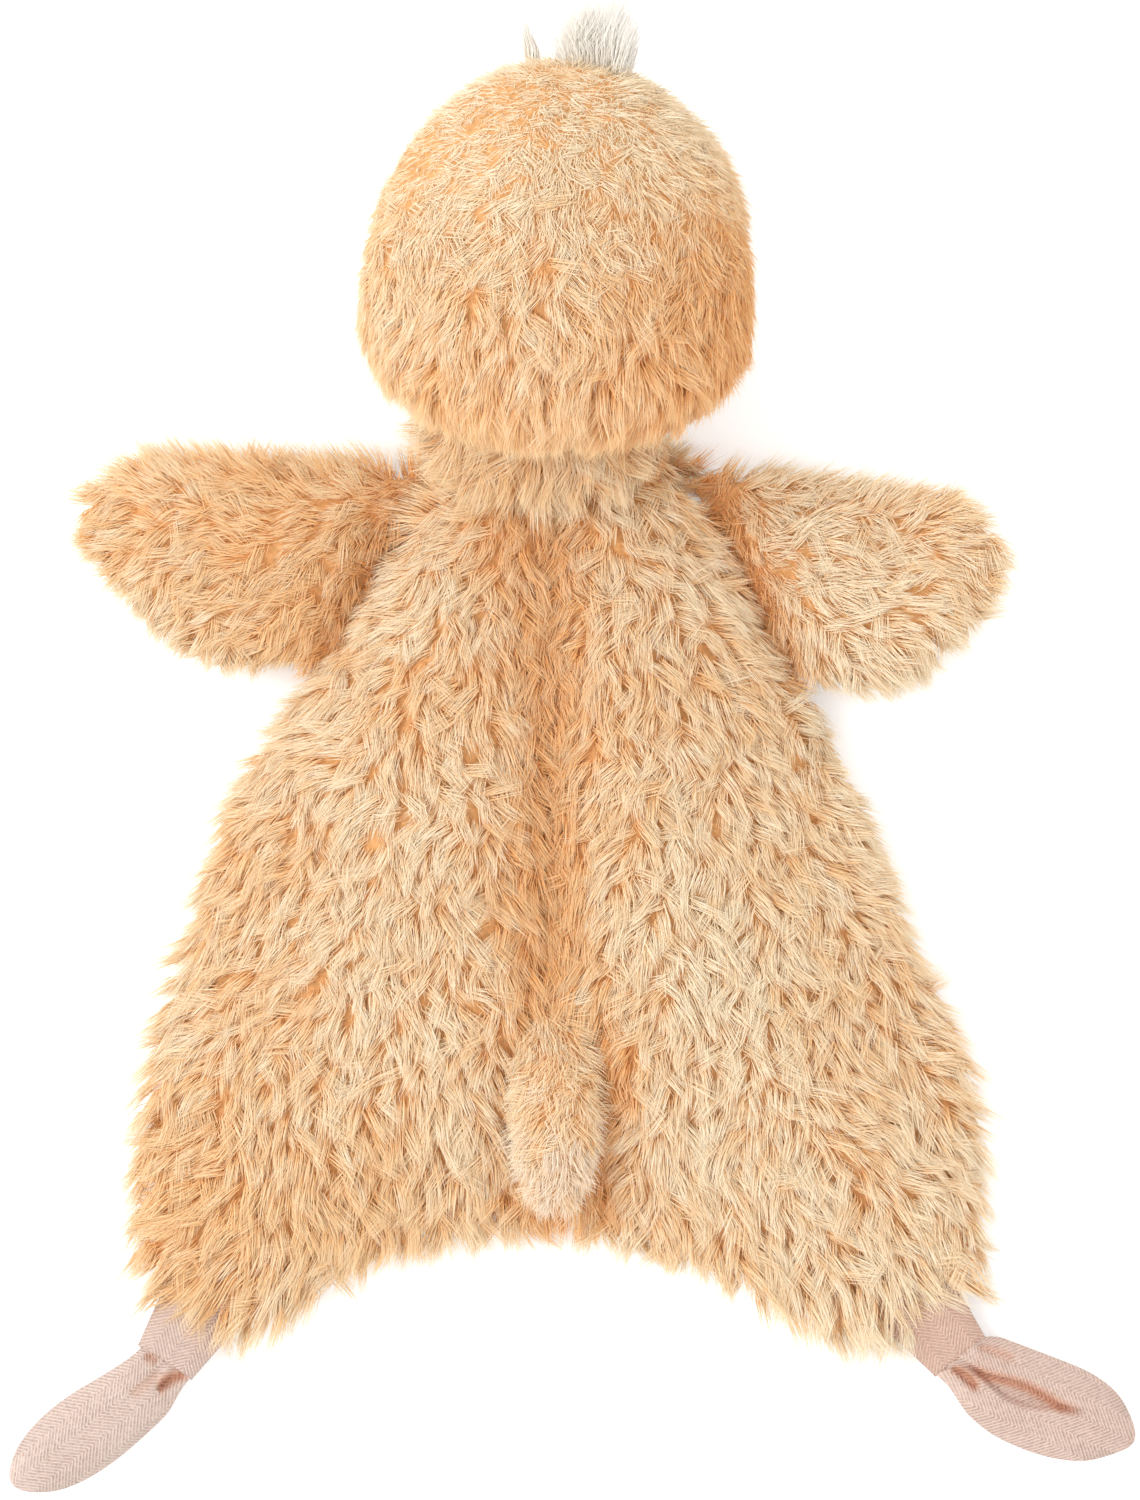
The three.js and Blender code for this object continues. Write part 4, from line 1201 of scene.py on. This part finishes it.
for side_name, side in (("left", -1), ("right", 1)):
    shape = FEET[side_name]
    hip_point = Vector(joint_named(f"{side_name}_leg_swing")["pos_m"])
    ankle_point = Vector(joint_named(f"{side_name}_ankle_flex")["pos_m"]) + shape["shift"]
    down_leg = (ankle_point - hip_point).normalized()
    beside_leg = Vector((-down_leg.y, down_leg.x, 0)) * side
    leg_span = (ankle_point - hip_point).length

    def leg_place(u, v, face):
        """A point of the leg's cloth: across from its inner to its outer edge, down from inside the hem."""
        down = -LEG_OVERLAP + v * (leg_span + LEG_OVERLAP)
        share = max(0, down) / leg_span
        width = LEG_ROOT_WIDTH + (CUFF_WIDTH - LEG_ROOT_WIDTH) * share
        across = 2 * u - 1
        closed = math.sqrt(max(0, 1 - abs(2 * v - 1) ** LEG_END_CURVE))
        crowned = (1 - across**4) * (1 - LEG_FLATTER_BELOW * share) * closed
        gathers = LEG_GATHERS * share**2 * math.sin(LEG_GATHER_WAVES * across + 2) * crowned
        ripple = LEG_RIPPLES * noise.noise(Vector((across * 2.2, down / MM * 0.16, side * 4)))
        height = LEG_RISE * crowned + (gathers + ripple) * crowned if face > 0 else LEG_RISE * crowned
        point = hip_point + down * down_leg + across * width / 2 * beside_leg + Vector((0, 0, face * height))
        # The leg's fold value is painted shade, as if in the shade of the hem, deeper on the right leg.
        return point, LEG_PAINTED_SHADES[side_name], (across * width / 2, down, 0)

    leg = sewn_pillow(f"{side_name}_leg_tube", LEG_COLUMNS, LEG_ROWS, leg_place, foot_twill)
    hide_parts(f"{side_name}_leg", f"{side_name}_leg_seam")
    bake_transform(leg)

    turn = side * shape["turn"]
    cosine, sine = math.cos(turn), math.sin(turn)
    along_foot = Vector((down_leg.x * cosine - down_leg.y * sine, down_leg.x * sine + down_leg.y * cosine, 0))
    above_foot = Vector((-along_foot.y, along_foot.x, 0)) * side

    def foot_place(u, v, face):
        """A point of the foot's cloth: across from its upper to its lower edge, from ankle to toe."""
        share = math.sin(v * math.pi / 2)
        along = share * (shape["length"] + FOOT_TUCK) - FOOT_TUCK
        blunt = math.sqrt(max(0, 1 - share**TOE_CURVE))
        upper = smoothly(shape["upper"], share) * MM * blunt
        lower = smoothly(shape["lower"], share) * MM * blunt
        across = 1 - 2 * u
        offset = (upper + lower) / 2 * across + (upper - lower) / 2
        gathered = (1 - min(1, share / FOOT_GATHER_SHARE)) ** 2
        root = ankle_point + across * ANKLE_WIDTH / 2 * beside_leg + along * along_foot
        free = ankle_point + along * along_foot + offset * above_foot
        point = root.lerp(free, 1 - gathered)
        crowned = 1 - abs(across) ** FOOT_EDGE_CURVE
        full = min(1, 0.34 + 2.6 * share) * blunt**0.8
        height = (FOOT_RISE if face > 0 else FOOT_SINK) * full * crowned
        height = max(height, ANKLE_RISE * crowned * (1 - share)) * min(1, math.sqrt(v * FOOT_ROWS / 3))
        # The fold value is painted shade: each foot's own share, deeper under its folds.
        fold = FOOT_PAINTED_SHADES[side_name]
        if face > 0:
            drawn, shaded = fold_depth(shape["folds"], along / MM, offset / MM)
            fold = max(fold, shaded)
            ripple = FOOT_RIPPLES * noise.noise(Vector((along / MM * 0.12, offset / MM * 0.3, side * 9)))
            pucker = FOOT_PUCKERS * math.exp(-share * FOOT_PUCKER_FADE) * math.sin(offset / MM * 2.1 + side)
            height = max(0.1 * MM * crowned, height + (ripple + pucker - drawn) * MM * crowned)
        cut = (offset, along + (0 if face > 0 else UNDER_CLOTH_FURTHER), 0)
        return point + Vector((0, 0, face * height)), fold, cut

    foot = sewn_pillow(f"{side_name}_foot_cover", FOOT_COLUMNS, FOOT_ROWS, foot_place, foot_twill)
    foot_nodes = [f"{side_name}_{part}" for part in ("ankle_seam", "foot_top", "foot_under", "foot_padding")]
    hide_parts(*foot_nodes)
    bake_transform(foot)

# Studio: a plain pale floor, a soft lamp high on the left and even light all round. The camera looks
# straight down on the toy's back, as far off as a long lens stands.
PHOTO_HEIGHT = 332.25 * MM
PHOTO_CENTRE = Vector((2.2 * MM, 0.4 * MM, 20 * MM))
CAMERA_DISTANCE = 2000 * MM
FLOOR_TONE = 0.9
SKY_ON_THE_TOY = 1.105
FLOOR_GLOW = 0.35
world = bpy.data.worlds.new("studio")
bpy.context.scene.world = world
world.use_nodes = True
sky = world.node_tree.nodes["Background"]
path = world.node_tree.nodes.new("ShaderNodeLightPath").outputs
seen = maths(world.node_tree, "MAXIMUM", path["Is Camera Ray"], path["Is Glossy Ray"])
clear = maths(world.node_tree, "MAXIMUM", seen, path["Is Transmission Ray"])
level = world.node_tree.nodes.new("ShaderNodeMapRange")
level.inputs["To Min"].default_value = SKY_ON_THE_TOY
level.inputs["To Max"].default_value = 1
world.node_tree.links.new(clear, level.inputs["Value"])
world.node_tree.links.new(level.outputs["Result"], sky.inputs["Strength"])
sky.inputs["Color"].default_value = (1, 1, 1, 1)

floor_form = bmesh.new()
bmesh.ops.create_grid(floor_form, x_segments=1, y_segments=1, size=3)
floor_material, floor_tree, floor_shader = new_material("pale_floor", roughness=0.9)
floor_shader.inputs["Base Color"].default_value = (FLOOR_TONE, FLOOR_TONE, FLOOR_TONE, 1)
floor_shader.inputs["Emission Color"].default_value = (1, 1, 1, 1)
floor_path = floor_tree.nodes.new("ShaderNodeLightPath").outputs
floor_glow = maths(floor_tree, "MULTIPLY", floor_path["Is Camera Ray"], FLOOR_GLOW)
floor_tree.links.new(floor_glow, floor_shader.inputs["Emission Strength"])
floor = new_piece("floor", mesh_of(floor_form, "floor"), floor_material)

lamp = bpy.data.lights.new("soft_lamp", "AREA")
lamp.shape = "DISK"
lamp.size = 1.8
lamp.energy = 37
lamp_stand = bpy.data.objects.new("soft_lamp", lamp)
bpy.context.scene.collection.objects.link(lamp_stand)
lamp_stand.location = (-1.9, 0.3, 2.45)
lamp_stand.rotation_euler = (-lamp_stand.location).to_track_quat("-Z", "Y").to_euler()

lens = bpy.data.cameras.new("camera")
lens.lens = lens.sensor_width * CAMERA_DISTANCE / PHOTO_HEIGHT
camera = bpy.data.objects.new("camera", lens)
bpy.context.scene.collection.objects.link(camera)
camera.location = PHOTO_CENTRE + Vector((0, 0, CAMERA_DISTANCE))
bpy.context.scene.camera = camera
bpy.context.scene.view_settings.view_transform = "Standard"
